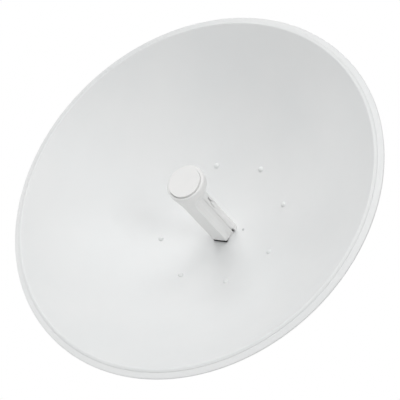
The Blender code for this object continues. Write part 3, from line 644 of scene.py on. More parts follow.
def side_frame(points, side):
    """Points (s, z, height above the cover's widest side) as places on one side of the feed."""
    return np.stack([side * (SHELL_HALF_WIDTH + points[..., 2]), LIP_Y - points[..., 0], points[..., 1]], -1)


def make_shade_blocks(dark):
    """A black block of painted shade in the slot under the keel, a rounded box that stands on
    the bowl, and a black block of painted shade in the notch on each side of the cover."""
    outline = box_outline((-KEEL_SHADE_HALF_WIDTH, KEEL_SHADE_LOW), (KEEL_SHADE_HALF_WIDTH, KEEL_SHADE_HIGH), 2 * SHADE_BLOCK_EDGE)
    rows = stacked(outline, edge_levels(FEED_BASE, FEED_BASE + KEEL_SHADE_RISE, SHADE_BLOCK_EDGE, SHADE_BLOCK_EDGE))
    seated(rows)
    # Painted shade: a black block in the slot under the keel
    solid("feed_base_painted_shade", [(beam_frame(rows), False, True)], dark, 35)
    low, high = (NOTCH_SHADE_BACK, SEAM_HEIGHT + 2 * GAP), (NOTCH_FRONT - GAP, NOTCH_HIGH - GAP)
    rows = stacked(box_outline(low, high, SHADE_BLOCK_EDGE),
                   edge_levels(GAP - NOTCH_SUNK, NOTCH_SHADE_FACE, SHADE_BLOCK_EDGE, SHADE_BLOCK_EDGE))
    # Painted shade: a black block in each side notch
    for name, side in (("right", 1), ("left", -1)):
        solid(f"feed_notch_painted_shade_{name}", [(side_frame(rows, side), False, True)], dark, 35)


def make_feed_body(plastic, dark):
    """The lower keel and the upper cover, which meet at a fine seam, and the neck behind."""
    half = np.vstack([keel_half(), [[0.0, SEAM_HEIGHT]]])
    levels = edge_levels(FEED_BASE, FEED_FRONT, 0.0, 0.0)
    levels[1:1] = [(0.0, s) for s in by_steps(FEED_BASE + 0.0010, FEED_BASE + BASE_REACH, 0.0010)]
    rows = stacked(both_sides(half), levels)
    seated(rows, KEEL_SLOT_RISE)
    keel = solid("feed_lower_body", [(beam_frame(rows), False, True)], plastic, 35)
    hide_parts("feed_keel")
    make_shade_blocks(dark)
    make_cover(plastic)
    make_latches(plastic)
    back = HUB_FLOOR_DEPTH + GAP
    profile = [(0.0, back), (NECK_RADIUS - 0.0004, back), (NECK_RADIUS, back + 0.0004),
               (NECK_RADIUS, FEED_BASE - GAP), (0.0, FEED_BASE - GAP)]
    neck = turned("feed_neck_tube", profile, plastic, 64)
    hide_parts("feed_neck")


def body_section():
    """The whole feed outline, with points added so that none is a wide turn from the next
    about the body's middle."""
    half = np.vstack([keel_half(), shell_half()])
    turn = np.unwrap(np.arctan2(half[:, 1] - BODY_MIDDLE, half[:, 0]))
    limit = math.radians(CAP_TURN)
    place = np.unique(np.concatenate([turn, np.arange(turn[0], turn[-1], limit)]))
    return both_sides(np.stack([np.interp(place, turn, half[:, k]) for k in (0, 1)], 1))


def make_cap(plastic):
    """The cap: a ring with a recess, a quarter ellipse for its shoulder and a short straight
    side, which goes over smoothly from a circle to the outline of the body behind, by the
    square of the share times three less twice the share; and the raised disc in its recess."""
    section = body_section()
    turn = np.arctan2(section[:, 1] - BODY_MIDDLE, section[:, 0])
    circle = np.stack([np.cos(turn), np.sin(turn)], 1)
    bend = np.radians(np.linspace(0, 90, 14))
    shoulder = np.stack([CAP_SHOULDER_RADIUS + (CAP_RADIUS - CAP_SHOULDER_RADIUS) * np.sin(bend),
                         CAP_WIDEST + (CAP_SHOULDER - CAP_WIDEST) * np.cos(bend)], 1)
    recess = [(0.0, CAP_FLOOR), (CAP_RECESS_RADIUS - 0.0004, CAP_FLOOR), (CAP_RECESS_RADIUS, CAP_FLOOR),
              (CAP_RECESS_RADIUS, CAP_SHOULDER - 0.0002), (CAP_RECESS_RADIUS + 0.0001, CAP_SHOULDER)]
    front = np.vstack([recess, shoulder, [(CAP_RADIUS, CAP_WIDEST / 2), (CAP_RADIUS, CAP_SIDE_END)]])
    share = np.linspace(0, 1, 26)[1:, None, None]
    ease = share * share * (3 - 2 * share)
    waist = CAP_RADIUS * circle[None] * (1 - ease) + section[None] * ease
    height = CAP_SIDE_END + (FEED_FRONT - CAP_SIDE_END) * share
    waist = np.concatenate([waist, np.broadcast_to(height, waist.shape[:2] + (1,))], -1)
    face = np.concatenate([front[:, None, :1] * circle[None],
                           np.broadcast_to(front[:, None, 1:], (len(front), len(circle), 1))], -1)
    face[:len(recess), :, 1] -= CAP_RECESS_DROP
    pole = np.broadcast_to([0.0, BODY_MIDDLE, FEED_FRONT], (1, len(circle), 3))
    rows = np.concatenate([face, waist, pole])
    ring = solid("feed_cap_ring", [(beam_frame(rows), False, True)], plastic, 38)
    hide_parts("cap_ring")

    low = CAP_FLOOR + GAP
    bend = np.radians(np.linspace(90, 0, 7))
    edge = np.stack([CAP_DISC_RADIUS - CAP_DISC_EDGE + CAP_DISC_EDGE * np.cos(bend),
                     CAP_DISC_FRONT - CAP_DISC_EDGE + CAP_DISC_EDGE * np.sin(bend)], 1)
    face = [(0.0, CAP_DISC_FRONT), (CAP_DISC_RADIUS * 0.5, CAP_DISC_FRONT),
            (CAP_DISC_RADIUS - CAP_DISC_EDGE - 0.0003, CAP_DISC_FRONT)]
    profile = np.vstack([face, edge, [(CAP_DISC_RADIUS, low), (0.0, low)]])
    angle = np.arange(160) * math.pi / 80
    grid = dish_points(profile[:, :1], profile[:, 1:], angle[None]) - [0, 0, CAP_DISC_DROP]
    disc = solid("feed_cap_disc", [(grid, False, True)], plastic, 38)
    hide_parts("cap_disc")


def make_side_screws(zinc):
    """A small low screw on each side of the feed, its head a flat dome with a socket."""
    x, z = SIDE_SCREW
    radius = math.hypot(x, z)
    turn = np.radians(np.linspace(90, 0, 7))
    dome = np.stack([SIDE_SCREW_RADIUS * np.cos(turn), SIDE_SCREW_HEIGHT * np.sin(turn)], 1)
    socket = [(0.0, -0.0006), (0.0009, -0.0006), (0.0009, SIDE_SCREW_HEIGHT * 0.9)]
    keep = dome[dome[:, 0] > 0.0010]
    grid = round_grid(np.vstack([socket, keep, [(SIDE_SCREW_RADIUS, -0.0008), (0.0, -0.0008)]]))
    height = float(bowl_height(radius))
    slope = float(bowl_slope(radius))
    for name, side in (("right", 1), ("left", -1)):
        angle = math.degrees(math.atan2(side * x, z))
        place = ring_places(radius, height, angle, 1, slope)[0]
        solid(f"feed_side_screw_{name}", [(placed(grid, place), False, True)], zinc, 40)


def rounded_outline(corners, radii, steps=6):
    """A closed outline whose corners are arcs: each arc's rays swing evenly from one tangent
    point to the other about the corner's own centre."""
    corners = np.asarray(corners, float)
    before = np.roll(corners, 1, 0) - corners
    after = np.roll(corners, -1, 0) - corners
    before /= np.linalg.norm(before, axis=1, keepdims=True)
    after /= np.linalg.norm(after, axis=1, keepdims=True)
    radii = np.broadcast_to(np.asarray(radii, float), len(corners))[:, None]
    half = np.arccos(np.clip((before * after).sum(1), -1, 1))[:, None] / 2
    inward = (before + after) / np.linalg.norm(before + after, axis=1, keepdims=True)
    centre = corners + inward * radii / np.sin(half)
    first = corners + before * radii / np.tan(half) - centre
    last = corners + after * radii / np.tan(half) - centre
    share = np.linspace(0, 1, steps + 1)[None, :, None]
    rays = first[:, None] * (1 - share) + last[:, None] * share
    rays *= radii[:, None] / np.maximum(np.linalg.norm(rays, axis=2, keepdims=True), 1e-12)
    return (centre[:, None] + rays).reshape(-1, 2)


def box_outline(low, high, radii, steps=6):
    """A box with rounded corners, from its low corner round to the left."""
    return rounded_outline([low, (high[0], low[1]), high, (low[0], high[1])], radii, steps)


def circle_outline(centre, radius, around=32):
    """A round hole's outline."""
    angle = np.arange(around) * 2 * math.pi / around
    return np.stack([centre[0] + radius * np.cos(angle), centre[1] + radius * np.sin(angle)], 1)


def signed_area(outline):
    """Area of an outline, above zero where it runs round to the left."""
    following = np.roll(outline, -1, 0)
    return 0.5 * float(np.sum(outline[:, 0] * following[:, 1] - following[:, 0] * outline[:, 1]))


def with_crossings(outline, axis, values):
    """An outline with a point added wherever it crosses one of some values of an axis."""
    if not len(values):
        return outline
    closed = np.vstack([outline, outline[:1]])
    start, step = closed[:-1, axis, None], np.diff(closed[:, axis])[:, None]
    flat = np.abs(step) < 1e-9
    share = (np.array(values)[None] - start) / np.where(flat, 1.0, step)
    row, column = np.nonzero((share > 1e-5) & (share < 1 - 1e-5) & ~flat)
    place = np.sort(np.concatenate([np.arange(len(outline)), row + share[row, column]]))
    return np.stack([np.interp(place, np.arange(len(closed)), closed[:, k]) for k in (0, 1)], 1)


def inside(points, outline):
    """Which points lie inside an outline, by how often a line to the right crosses it."""
    x, y = points[:, :1], points[:, 1:]
    a, b = outline[None], np.roll(outline, -1, 0)[None]
    straddle = (a[..., 1] > y) != (b[..., 1] > y)
    rise = np.where(straddle, b[..., 1] - a[..., 1], 1.0)
    cross = a[..., 0] + (y - a[..., 1]) * (b[..., 0] - a[..., 0]) / rise
    return (straddle & (x < cross)).sum(1) % 2 == 1


def flat_plate(outlines, low, high, edge, bends=(), levels=()):
    """A flat plate in (u, v, w): outlines, the first outside and the rest holes, carried from
    low to high in w with their edges rounded over, and both faces filled with triangles that
    never cross a line of bending in u or a level in v. Returns its points and its faces."""
    loops = [with_crossings(with_crossings(np.asarray(loop, float), 0, bends), 1, levels)
             for loop in outlines]
    loops = [loop if (signed_area(loop) > 0) == (i == 0) else loop[::-1] for i, loop in enumerate(loops)]
    points, faces, start = [], [], 0
    rims, rim_edges, rim_start = [], [], 0
    for loop in loops:
        rows = stacked(loop, edge_levels(low, high, edge, edge, 2))[1:-1]
        count = len(loop)
        index = start + np.arange(len(rows) * count).reshape(len(rows), count)
        index = np.hstack([index, index[:, :1]])
        faces += np.stack([index[:-1, :-1], index[:-1, 1:], index[1:, 1:], index[1:, :-1]], -1).reshape(-1, 4).tolist()
        points.append(rows.reshape(-1, 3))
        start += rows.shape[0] * count
        rims.append(rows[0, :, :2])
        ring = rim_start + np.arange(count)
        rim_edges += np.stack([ring, np.roll(ring, -1)], 1).tolist()
        rim_start += count
    rim = np.vstack(rims)
    for axis, values in ((0, bends), (1, levels)):
        for value in values:
            near = np.nonzero(np.abs(rims[0][:, axis] - value) < 1e-7)[0]
            order = near[np.argsort(rims[0][near, 1 - axis])]
            if len(order) > 1:
                rim_edges.append([int(order[0]), int(order[-1])])
    made = delaunay_2d_cdt([Vector(p) for p in rim.tolist()], rim_edges, [], 1, 1e-7)
    fill = np.array([tuple(p) for p in made[0]])
    triangles = np.array([f for f in made[2] if len(f) == 3])
    middle = fill[triangles].mean(1)
    keep = inside(middle, rims[0])
    for hole in rims[1:]:
        keep &= ~inside(middle, hole)
    triangles = triangles[keep]
    for height in (low, high):
        points.append(np.hstack([fill, np.full((len(fill), 1), height)]))
        faces += (triangles + start).tolist()
        start += len(fill)
    return np.vstack(points), faces


def bent(points, bend_start, centre, toward, radius):
    """Fold a flat plate (u, v, w) about two upright lines: the web is straight up to the start
    of each bend, the bend is an arc, and each leg runs on square to the web. Returns how far
    across, how deep and how high each point is."""
    u, v, w = points.T
    side = np.sign(u)
    run = np.abs(u) - bend_start
    arc = radius * math.pi / 2
    angle = np.clip(run, 0, arc) / radius
    across = np.minimum(np.abs(u), bend_start) + (radius + w) * np.sin(angle)
    depth = centre - toward * (radius + w) * np.cos(angle) + toward * np.maximum(run - arc, 0)
    return side * across, depth, v


def meshed(name, parts, material, smooth_angle=20):
    """A piece from several sets of points and faces."""
    start, faces = 0, []
    for points, cells in parts:
        faces += [[index + start for index in cell] for cell in cells]
        start += len(points)
    mesh = bpy.data.meshes.new(name)
    mesh.from_pydata(np.vstack([points for points, cells in parts]).tolist(), [], faces)
    return finished(name, mesh, material, smooth_angle)


def bend_lines(bend_start, radius, steps=7):
    """Places in u where a bend's faces meet, on both sides."""
    lines = bend_start + np.linspace(0, radius * math.pi / 2, steps + 1)
    return np.concatenate([-lines[::-1], lines])


def slot_outline(centre, radius, half_width, sweep, steps=12):
    """A curved slot about a centre: two arcs swept either side of straight down, with round ends."""
    angle = np.radians(-90 + np.linspace(-sweep, sweep, steps))
    def arc(middle, size, angles):
        return np.stack([middle[0] + size * np.cos(angles), middle[1] + size * np.sin(angles)], 1)
    far = arc(centre, radius + half_width, angle)
    near = arc(centre, radius - half_width, angle[::-1])
    ends = [arc(arc(centre, radius, angle[[k]])[0], half_width,
                angle[k] + np.linspace(first, first + math.pi, 10)[1:-1]) for k, first in ((-1, 0), (0, math.pi))]
    return np.vstack([far, ends[0], near, ends[1]])


def make_tilt_frame(paint):
    """The white channel on the hub plate: a flat pattern with a window, a pivot hole and a
    curved slot in each cheek, folded at two bends."""
    middle = BEND_RADIUS - PLATE / 2
    start = FRAME_INSIDE + PLATE - BEND_RADIUS
    web = LIP_Y - HUB_FLOOR_DEPTH + GAP
    centre = web + BEND_RADIUS
    leg = start + middle * math.pi / 2
    reach = leg + FRAME_BACK - centre
    pivot = leg + PIVOT_Y - centre
    outer = box_outline((-reach, -FRAME_HALF_HEIGHT), (reach, FRAME_HALF_HEIGHT), CHEEK_CORNER, 8)
    outlines = [outer, box_outline((-FRAME_WINDOW, -FRAME_WINDOW), (FRAME_WINDOW, FRAME_WINDOW),
                                   FRAME_WINDOW_CORNER, 8)]
    slot = slot_outline((pivot, PIVOT_HEIGHT), LOCK_DROP, SLOT_HALF_WIDTH, SLOT_SWEEP)
    for side in (1, -1):
        outlines += [circle_outline((side * pivot, PIVOT_HEIGHT), PIVOT_HOLE_RADIUS), slot * [side, 1]]
    points, faces = flat_plate(outlines, -PLATE / 2, PLATE / 2, 0.0005, bend_lines(start, middle))
    across, depth, height = bent(points, start, centre, 1, middle)
    frame_piece = meshed("tilt_channel", [(np.stack([across, depth, height], 1), faces)], paint)
    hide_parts("tilt_frame")


def make_mast_bracket(zinc):
    """The zinc channel that the mast clamps hold: its flat pattern folded at two bends, and
    the bands above and below its middle set back by the jaws' seats."""
    middle = BEND_RADIUS - PLATE / 2
    start = BRACKET_OUTSIDE - BEND_RADIUS
    leg = start + middle * math.pi / 2
    reach = leg - BEND_RADIUS - BRACKET_FRONT
    pivot = leg - BEND_RADIUS - PIVOT_Y
    outlines = [box_outline((-reach, -BRACKET_HALF_HEIGHT), (reach, BRACKET_HALF_HEIGHT), CHEEK_CORNER, 8)]
    for side in (1, -1):
        for height in (PIVOT_HEIGHT, PIVOT_HEIGHT - LOCK_DROP):
            outlines.append(circle_outline((side * pivot, height), PIVOT_HOLE_RADIUS))
        for height in (JAW_OFFSET, -JAW_OFFSET):
            outlines.append(circle_outline((side * CLAMP_BOLT_X, height), CLAMP_HOLE_RADIUS))
    slope = 0.0012
    levels = [sign * (PAD_HALF_HEIGHT + shift) for sign in (-1, 1) for shift in (0.0, slope)]
    points, faces = flat_plate(outlines, -PLATE / 2, PLATE / 2, 0.0005, bend_lines(start, middle), levels)
    across, depth, height = bent(points, start, -BEND_RADIUS, -1, middle)
    share = np.clip((np.abs(height) - PAD_HALF_HEIGHT) / slope, 0, 1)
    depth = np.minimum(depth, -JAW_SEAT_DEPTH * share)
    bracket = meshed("mast_channel", [(np.stack([across, depth, height], 1), faces)], zinc)
    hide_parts("mast_bracket")


def jaw_edge():
    """The toothed edge: a V whose depth grows with the distance from its middle, cut into
    teeth, then flat ends with their corners taken off."""
    rise = math.tan(math.radians(JAW_V_ANGLE))
    top = JAW_APEX + JAW_V_HALF_WIDTH * rise
    tooth = np.arange(2 * JAW_TEETH + 1) / 2
    across = JAW_V_HALF_WIDTH * tooth / JAW_TEETH
    depth = JAW_APEX + across * rise - JAW_TOOTH_DEPTH * (tooth % 1 > 0)
    corner = np.radians(np.linspace(90, 0, 6))
    across = np.concatenate([across, JAW_HALF_WIDTH - JAW_CORNER * (1 - np.cos(corner))])
    depth = np.concatenate([depth, top - JAW_CORNER * (1 - np.sin(corner))])
    return np.concatenate([-across[:0:-1], across]), np.concatenate([depth[:0:-1], depth])


def make_jaws(zinc):
    """Each jaw is one pressed sheet: a back with two holes, folded at two bends into a pair
    of toothed flanges."""
    middle = JAW_BEND - JAW_PLATE / 2
    start = JAW_HEIGHT / 2 - JAW_BEND
    leg = start + middle * math.pi / 2
    across, depth = jaw_edge()
    rim = leg + depth - JAW_BEND
    outer = np.vstack([np.stack([rim, across], 1), np.stack([-rim, across], 1)[::-1]])
    holes = [circle_outline((0.0, side * CLAMP_BOLT_X), CLAMP_HOLE_RADIUS) for side in (1, -1)]
    points, faces = flat_plate([outer] + holes, -JAW_PLATE / 2, JAW_PLATE / 2, 0.0004,
                               bend_lines(start, middle, 6))
    up, depth, across = bent(points, start, JAW_BEND, 1, middle)
    for level, sign in (("upper", 1), ("lower", -1)):
        inner = np.stack([across, JAW_BACK + depth, up + sign * JAW_OFFSET], 1)
        outer = np.stack([-across, JAW_FAR - depth, up + sign * JAW_OFFSET], 1)
        for name, place in (("inner", inner), ("outer", outer)):
            jaw = meshed(f"mast_jaw_{name}_{level}", [(place, faces)], zinc)
            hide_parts(f"{name}_jaw_{level}")


def bolt_grids(head, nut, shank, thread_start, end, pitch):
    """A hexagon bolt along w: a chamfered head with a raised washer face, a plain shank, a
    thread, and its washer and nut. Head and nut are (low, high)."""
    face = 0.0005
    grids = [(hexagon_grid(HEX_RADIUS, head[0], head[1] - face, 0.0009), False, True),
             (round_grid([(0.0, head[1] - face), (HEX_RADIUS * 0.84, head[1] - face),
                          (HEX_RADIUS * 0.84, head[1]), (0.0, head[1])], 40), False, True),
             (round_grid([(0.0, head[1] - face), (shank, head[1] - face), (shank, thread_start),
                          (shank - 0.0004, thread_start + 0.0004), (0.0, thread_start + 0.0004)], 28), False, True),
             (thread_grid(shank, thread_start, end, pitch, 24), False, True),
             (round_grid(washer_profile(shank + 0.0001, WASHER_RADIUS, nut[0], nut[0] + WASHER_THICKNESS), 40), True, True),
             (hexagon_grid(HEX_RADIUS, nut[0] + WASHER_THICKNESS, nut[1], 0.0008, shank - 0.0001), True, True)]
    return grids


def make_clamp_bolts(zinc):
    """The four long bolts that draw the jaws together, with their washers and nuts."""
    head = (-PLATE - GAP - HEX_HEIGHT, -PLATE - GAP)
    nut = (JAW_FAR + GAP, JAW_FAR + GAP + 0.0078)
    grids = bolt_grids(head, nut, CLAMP_BOLT_RADIUS, CLAMP_THREAD_START, CLAMP_BOLT_END, 0.00125)
    for side, x in (("right", CLAMP_BOLT_X), ("left", -CLAMP_BOLT_X)):
        for level, z in (("upper", JAW_OFFSET), ("lower", -JAW_OFFSET)):
            moved = [(np.stack([x + g[..., 0], g[..., 2], z - g[..., 1]], -1), rows, columns)
                     for g, rows, columns in grids]
            bolt = solid(f"mast_bolt_{level}_{side}", moved, zinc, 30)
            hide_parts(f"clamp_bolt_{level}_{side}")


def make_tilt_bolts(zinc):
    """Pivot bolt above and lock bolt below through each pair of cheeks."""
    head = -(FRAME_INSIDE + PLATE + GAP)
    nut = -(BRACKET_OUTSIDE - PLATE - GAP)
    grids = bolt_grids((head - HEX_HEIGHT, head), (nut, nut + HEX_HEIGHT + 0.0008), PIVOT_BOLT_RADIUS,
                       nut - 0.0010, nut + HEX_HEIGHT + PIVOT_TAIL, 0.0010)
    for name, z in (("pivot", PIVOT_HEIGHT), ("lock", PIVOT_HEIGHT - LOCK_DROP)):
        for side, sign in (("right", -1), ("left", 1)):
            moved = [(np.stack([sign * g[..., 2], PIVOT_Y + g[..., 0], z + sign * g[..., 1]], -1), rows, columns)
                     for g, rows, columns in grids]
            bolt = solid(f"tilt_{name}_bolt_{side}", moved, zinc, 30)
            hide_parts(f"{name}_bolt_{side}")


def make_rivets(zinc):
    """Four domed rivets that hold the tilt frame's web to the hub plate."""
    web = LIP_Y - HUB_FLOOR_DEPTH + GAP + PLATE
    turn = np.radians(np.linspace(90, 0, 9))
    dome = np.stack([RIVET_RADIUS * np.cos(turn), RIVET_HEIGHT * np.sin(turn)], 1)
    shank = [(RIVET_RADIUS, -0.0001), (0.0024, -0.0001), (0.0024, -PLATE - GAP - HUB_SHEET),
             (0.0036, -PLATE - GAP - HUB_SHEET - 0.0001), (0.0034, -PLATE - GAP - HUB_SHEET - 0.0009),
             (0.0, -PLATE - GAP - HUB_SHEET - 0.0012)]
    grid = round_grid(np.vstack([dome, shank]), 32)
    for number, (x, z) in enumerate(((1, 1), (-1, 1), (-1, -1), (1, -1)), 1):
        place = np.stack([x * RIVET_X + grid[..., 0], web + grid[..., 2], z * RIVET_Z - grid[..., 1]], -1)
        solid(f"frame_rivet_{number}", [(place, False, True)], zinc, 40)


def housing_half():
    """Right half of the rear housing's outline from the bottom's middle, with three heights
    for each of its first points: under the port, under the door and at the bottom."""
    turn = np.radians(np.linspace(90, 0, 6))
    port_x = np.concatenate([[0.0, 0.0025], PORT_HALF_WIDTH - PORT_CORNER * (1 - np.cos(turn)), [PORT_HALF_WIDTH]])
    roof = TAIL_BOTTOM + PORT_HALF_WIDTH
    port_z = np.concatenate([[roof, roof], roof - PORT_CORNER * (1 - np.sin(turn)), [roof - PORT_CORNER - 0.001]])
    ceiling = TAIL_BOTTOM + DOOR_THICKNESS + GAP
    door_x = np.array([PORT_HALF_WIDTH, DOOR_HALF_WIDTH - 0.004, DOOR_HALF_WIDTH + GAP])
    corner = box_outline((-TAIL_HALF_WIDTH, TAIL_BOTTOM), (TAIL_HALF_WIDTH, TAIL_TOP), TAIL_CORNER, 10)
    side = corner[(corner[:, 0] > 0)]
    side = side[np.argsort(np.arctan2(side[:, 1], side[:, 0]))]
    x = np.concatenate([port_x, door_x, [DOOR_HALF_WIDTH + GAP], side[:, 0], [0.0]])
    port = np.concatenate([port_z, np.full(3, ceiling), [TAIL_BOTTOM], side[:, 1], [TAIL_TOP]])
    door = np.concatenate([np.full(len(port_x) + 3, ceiling), [TAIL_BOTTOM], side[:, 1], [TAIL_TOP]])
    plain = np.concatenate([np.full(len(port_x) + 4, TAIL_BOTTOM), side[:, 1], [TAIL_TOP]])
    return x, port, door, plain


def make_housing(plastic, dark, zinc):
    """The rear housing: one outline carried along the beam, with its back edge rounded, a
    fine groove where its two halves meet, the recess for the door, and the port's notch."""
    x, port, door, plain = housing_half()
    front = HUB_FLOOR_DEPTH - GAP
    back = front - TAIL_DEPTH
    seam = front - TAIL_SEAM
    rows = []
    plan = [(port, edge_levels(back, back + 0.010, 0.0022, 0.0, 5)), (port, [(0.0, back + PORT_DEPTH)]),
            (door, [(0.0, back + PORT_DEPTH), (0.0, seam - 0.0006), (0.0004, seam - 0.0004),
                    (0.0004, seam + 0.0004), (0.0, seam + 0.0006), (0.0, front - DOOR_MARGIN)]),
            (plain, [(0.0, front - DOOR_MARGIN)]), (plain, edge_levels(front - 0.002, front, 0.0, 0.0008))]
    for heights, levels in plan:
        outline = both_sides(np.stack([x, heights], 1))
        rows.append(stacked(outline, levels)[1:-1])
    rows = np.concatenate(rows)
    ends = [rows[[0]] * [0, 0, 1], rows[[-1]] * [0, 0, 1]]
    shell = np.concatenate([ends[0], rows, ends[1]])
    housing = solid("radio_housing", [(beam_frame(shell), False, True)], plastic, 30)
    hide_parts("rear_housing")

    corners = np.array([(PORT_HALF_WIDTH, back), (DOOR_HALF_WIDTH, back),
                        (DOOR_HALF_WIDTH, front - DOOR_MARGIN - GAP), (-DOOR_HALF_WIDTH, front - DOOR_MARGIN - GAP),
                        (-DOOR_HALF_WIDTH, back), (-PORT_HALF_WIDTH, back),
                        (-PORT_HALF_WIDTH, back + PORT_DEPTH), (PORT_HALF_WIDTH, back + PORT_DEPTH)])
    outline = rounded_outline(corners, [0.0008, 0.0012, 0.0008, 0.0008, 0.0012, 0.0008, 0.0020, 0.0020], 4)
    points, faces = flat_plate([outline], TAIL_BOTTOM, TAIL_BOTTOM + DOOR_THICKNESS, 0.0004)
    parts = [(np.stack([points[:, 0], LIP_Y - points[:, 1], points[:, 2]], 1), faces)]
    for i in range(4):
        s = back + PORT_DEPTH + 0.004 + 0.0022 * i
        ridge = box_outline((-0.012, s), (0.012, s + 0.0010), 0.0004, 3)
        points, faces = flat_plate([ridge], TAIL_BOTTOM - 0.0005, TAIL_BOTTOM + 0.0005, 0.0002)
        parts.append((np.stack([points[:, 0], LIP_Y - points[:, 1], points[:, 2]], 1), faces))
    door_piece = meshed("cable_door", parts, plastic)
    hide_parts("port_door")

    opening = box_outline((-0.0066, TAIL_BOTTOM + 0.0006), (0.0066, TAIL_BOTTOM + 0.0078), 0.0008, 4)
    level = back + PORT_DEPTH
    levels = [(0.0, level + 0.003), (0.0, level - 0.0006), (0.0002, level - 0.0008), (0.0008, level - 0.0008),
              (0.0010, level - 0.0006), (0.0010, level + 0.0024)]
    socket = stacked(opening, levels)
    solid("cable_socket", [(beam_frame(socket), False, True)], dark, 30)

    turn = np.radians(np.linspace(90, 0, 6))
    dome = np.stack([0.0028 * np.cos(turn), 0.0012 * np.sin(turn)], 1)
    hollow = [(0.0, 0.0003), (0.0012, 0.0003), (0.0012, 0.0011)]
    head = round_grid(np.vstack([hollow, dome[dome[:, 0] > 0.0013], [(0.0028, -0.0010), (0.0, -0.0010)]]), 24)
    for number, (x_place, z_place) in enumerate(((0.022, 0.024), (-0.022, 0.024), (-0.022, -0.026), (0.022, -0.026)), 1):
        place = np.stack([x_place + head[..., 0], LIP_Y - back + head[..., 2], z_place - head[..., 1]], -1)
        solid(f"housing_screw_{number}", [(place, False, True)], zinc, 40)


def shader_material(name, colour, roughness, metallic=0.0):
    """A material with its main shader, and the tools to add nodes to it."""
    material = bpy.data.materials.new(name)
    material.use_nodes = True
    tree = material.node_tree
    shader = tree.nodes["Principled BSDF"]
    shader.inputs["Base Color"].default_value = (*colour, 1.0)
    shader.inputs["Roughness"].default_value = roughness
    shader.inputs["Metallic"].default_value = metallic
    return material, tree, shader


def noise(tree, scale, detail=3.0, roughness=0.5):
    """A noise pattern on the piece's own coordinates."""
    place = tree.nodes.new("ShaderNodeTexCoord")
    node = tree.nodes.new("ShaderNodeTexNoise")
    node.inputs["Scale"].default_value = scale
    node.inputs["Detail"].default_value = detail
    node.inputs["Roughness"].default_value = roughness
    tree.links.new(place.outputs["Object"], node.inputs["Vector"])
    return node.outputs["Fac"]


def spread(tree, value, low, high, to_low, to_high):
    """Stretch a value from one range to another."""
    node = tree.nodes.new("ShaderNodeMapRange")
    node.inputs["From Min"].default_value = low
    node.inputs["From Max"].default_value = high
    node.inputs["To Min"].default_value = to_low
    node.inputs["To Max"].default_value = to_high
    tree.links.new(value, node.inputs["Value"])
    return node.outputs["Result"]


def tinted(tree, value, first, second):
    """A colour between two, by a value."""
    node = tree.nodes.new("ShaderNodeMix")
    node.data_type = "RGBA"
    node.inputs["A"].default_value = (*first, 1.0)
    node.inputs["B"].default_value = (*second, 1.0)
    tree.links.new(value, node.inputs["Factor"])
    return node.outputs["Result"]


def relief(tree, shader, layers):
    """Stack bumps, each (value, strength, height in metres), and drive the normal."""
    normal = None
    for value, strength, height in layers:
        bump = tree.nodes.new("ShaderNodeBump")
        bump.inputs["Strength"].default_value = strength
        bump.inputs["Distance"].default_value = height
        tree.links.new(value, bump.inputs["Height"])
        if normal is not None:
            tree.links.new(normal, bump.inputs["Normal"])
        normal = bump.outputs["Normal"]
    tree.links.new(normal, shader.inputs["Normal"])


def paint_material():
    """White powder coat on pressed steel: even in colour, with a slight orange peel."""
    material, tree, shader = shader_material("white_powder_coat", (0.80, 0.81, 0.81), 0.40)
    patches = spread(tree, noise(tree, 9.0, 4.0), 0.35, 0.65, 0.0, 1.0)
    colour = tinted(tree, patches, (0.790, 0.802, 0.803), (0.808, 0.816, 0.815))
    tree.links.new(colour, shader.inputs["Base Color"])
    tree.links.new(spread(tree, noise(tree, 60.0), 0.3, 0.7, 0.36, 0.46), shader.inputs["Roughness"])
    relief(tree, shader, [(noise(tree, 420.0, 2.0), 0.10, 0.0004), (noise(tree, 7.0, 1.0), 0.06, 0.004)])
    return material


def plastic_material():
    """White outdoor plastic with a fine moulded grain."""
    material, tree, shader = shader_material("white_moulded_plastic", (0.82, 0.82, 0.81), 0.42)
    patches = spread(tree, noise(tree, 22.0, 4.0), 0.35, 0.65, 0.0, 1.0)
    colour = tinted(tree, patches, (0.812, 0.812, 0.805), (0.832, 0.830, 0.822))
    tree.links.new(colour, shader.inputs["Base Color"])
    tree.links.new(spread(tree, noise(tree, 140.0), 0.3, 0.7, 0.38, 0.50), shader.inputs["Roughness"])
    relief(tree, shader, [(noise(tree, 1900.0, 2.0), 0.12, 0.0001)])
    return material


def zinc_material():
    """Zinc-plated steel: a soft metal sheen with cloudy patches."""
    material, tree, shader = shader_material("zinc_plate", (0.60, 0.61, 0.62), 0.38, 0.92)
    patches = spread(tree, noise(tree, 55.0, 6.0, 0.6), 0.35, 0.65, 0.0, 1.0)
    colour = tinted(tree, patches, (0.52, 0.53, 0.55), (0.66, 0.665, 0.67))
    tree.links.new(colour, shader.inputs["Base Color"])
    tree.links.new(spread(tree, noise(tree, 160.0, 4.0), 0.3, 0.7, 0.28, 0.50), shader.inputs["Roughness"])
    relief(tree, shader, [(noise(tree, 900.0, 3.0), 0.15, 0.0001)])
    return material


def dark_material():
    """Black rubber for the cable socket, and black used as painted shade in the slot under the keel and in the side
    notches.
    """
    material, tree, shader = shader_material("black_rubber_and_painted_shade", (0.015, 0.015, 0.016), 0.7)
    tree.links.new(spread(tree, noise(tree, 300.0), 0.3, 0.7, 0.6, 0.8), shader.inputs["Roughness"])
    relief(tree, shader, [(noise(tree, 1500.0, 2.0), 0.2, 0.0001)])
    return material


def dress_nodes(paint, plastic, zinc):
    """Give each CAD node that stays the finish of its slot."""
    finishes = {"white_paint": paint, "white_plastic": plastic, "zinc": zinc}
    for part in frame["record"]["subparts"]:
        node = NODES[part["node"]]
        node.data.materials.clear()
        node.data.materials.append(finishes[part["material_slot"]])


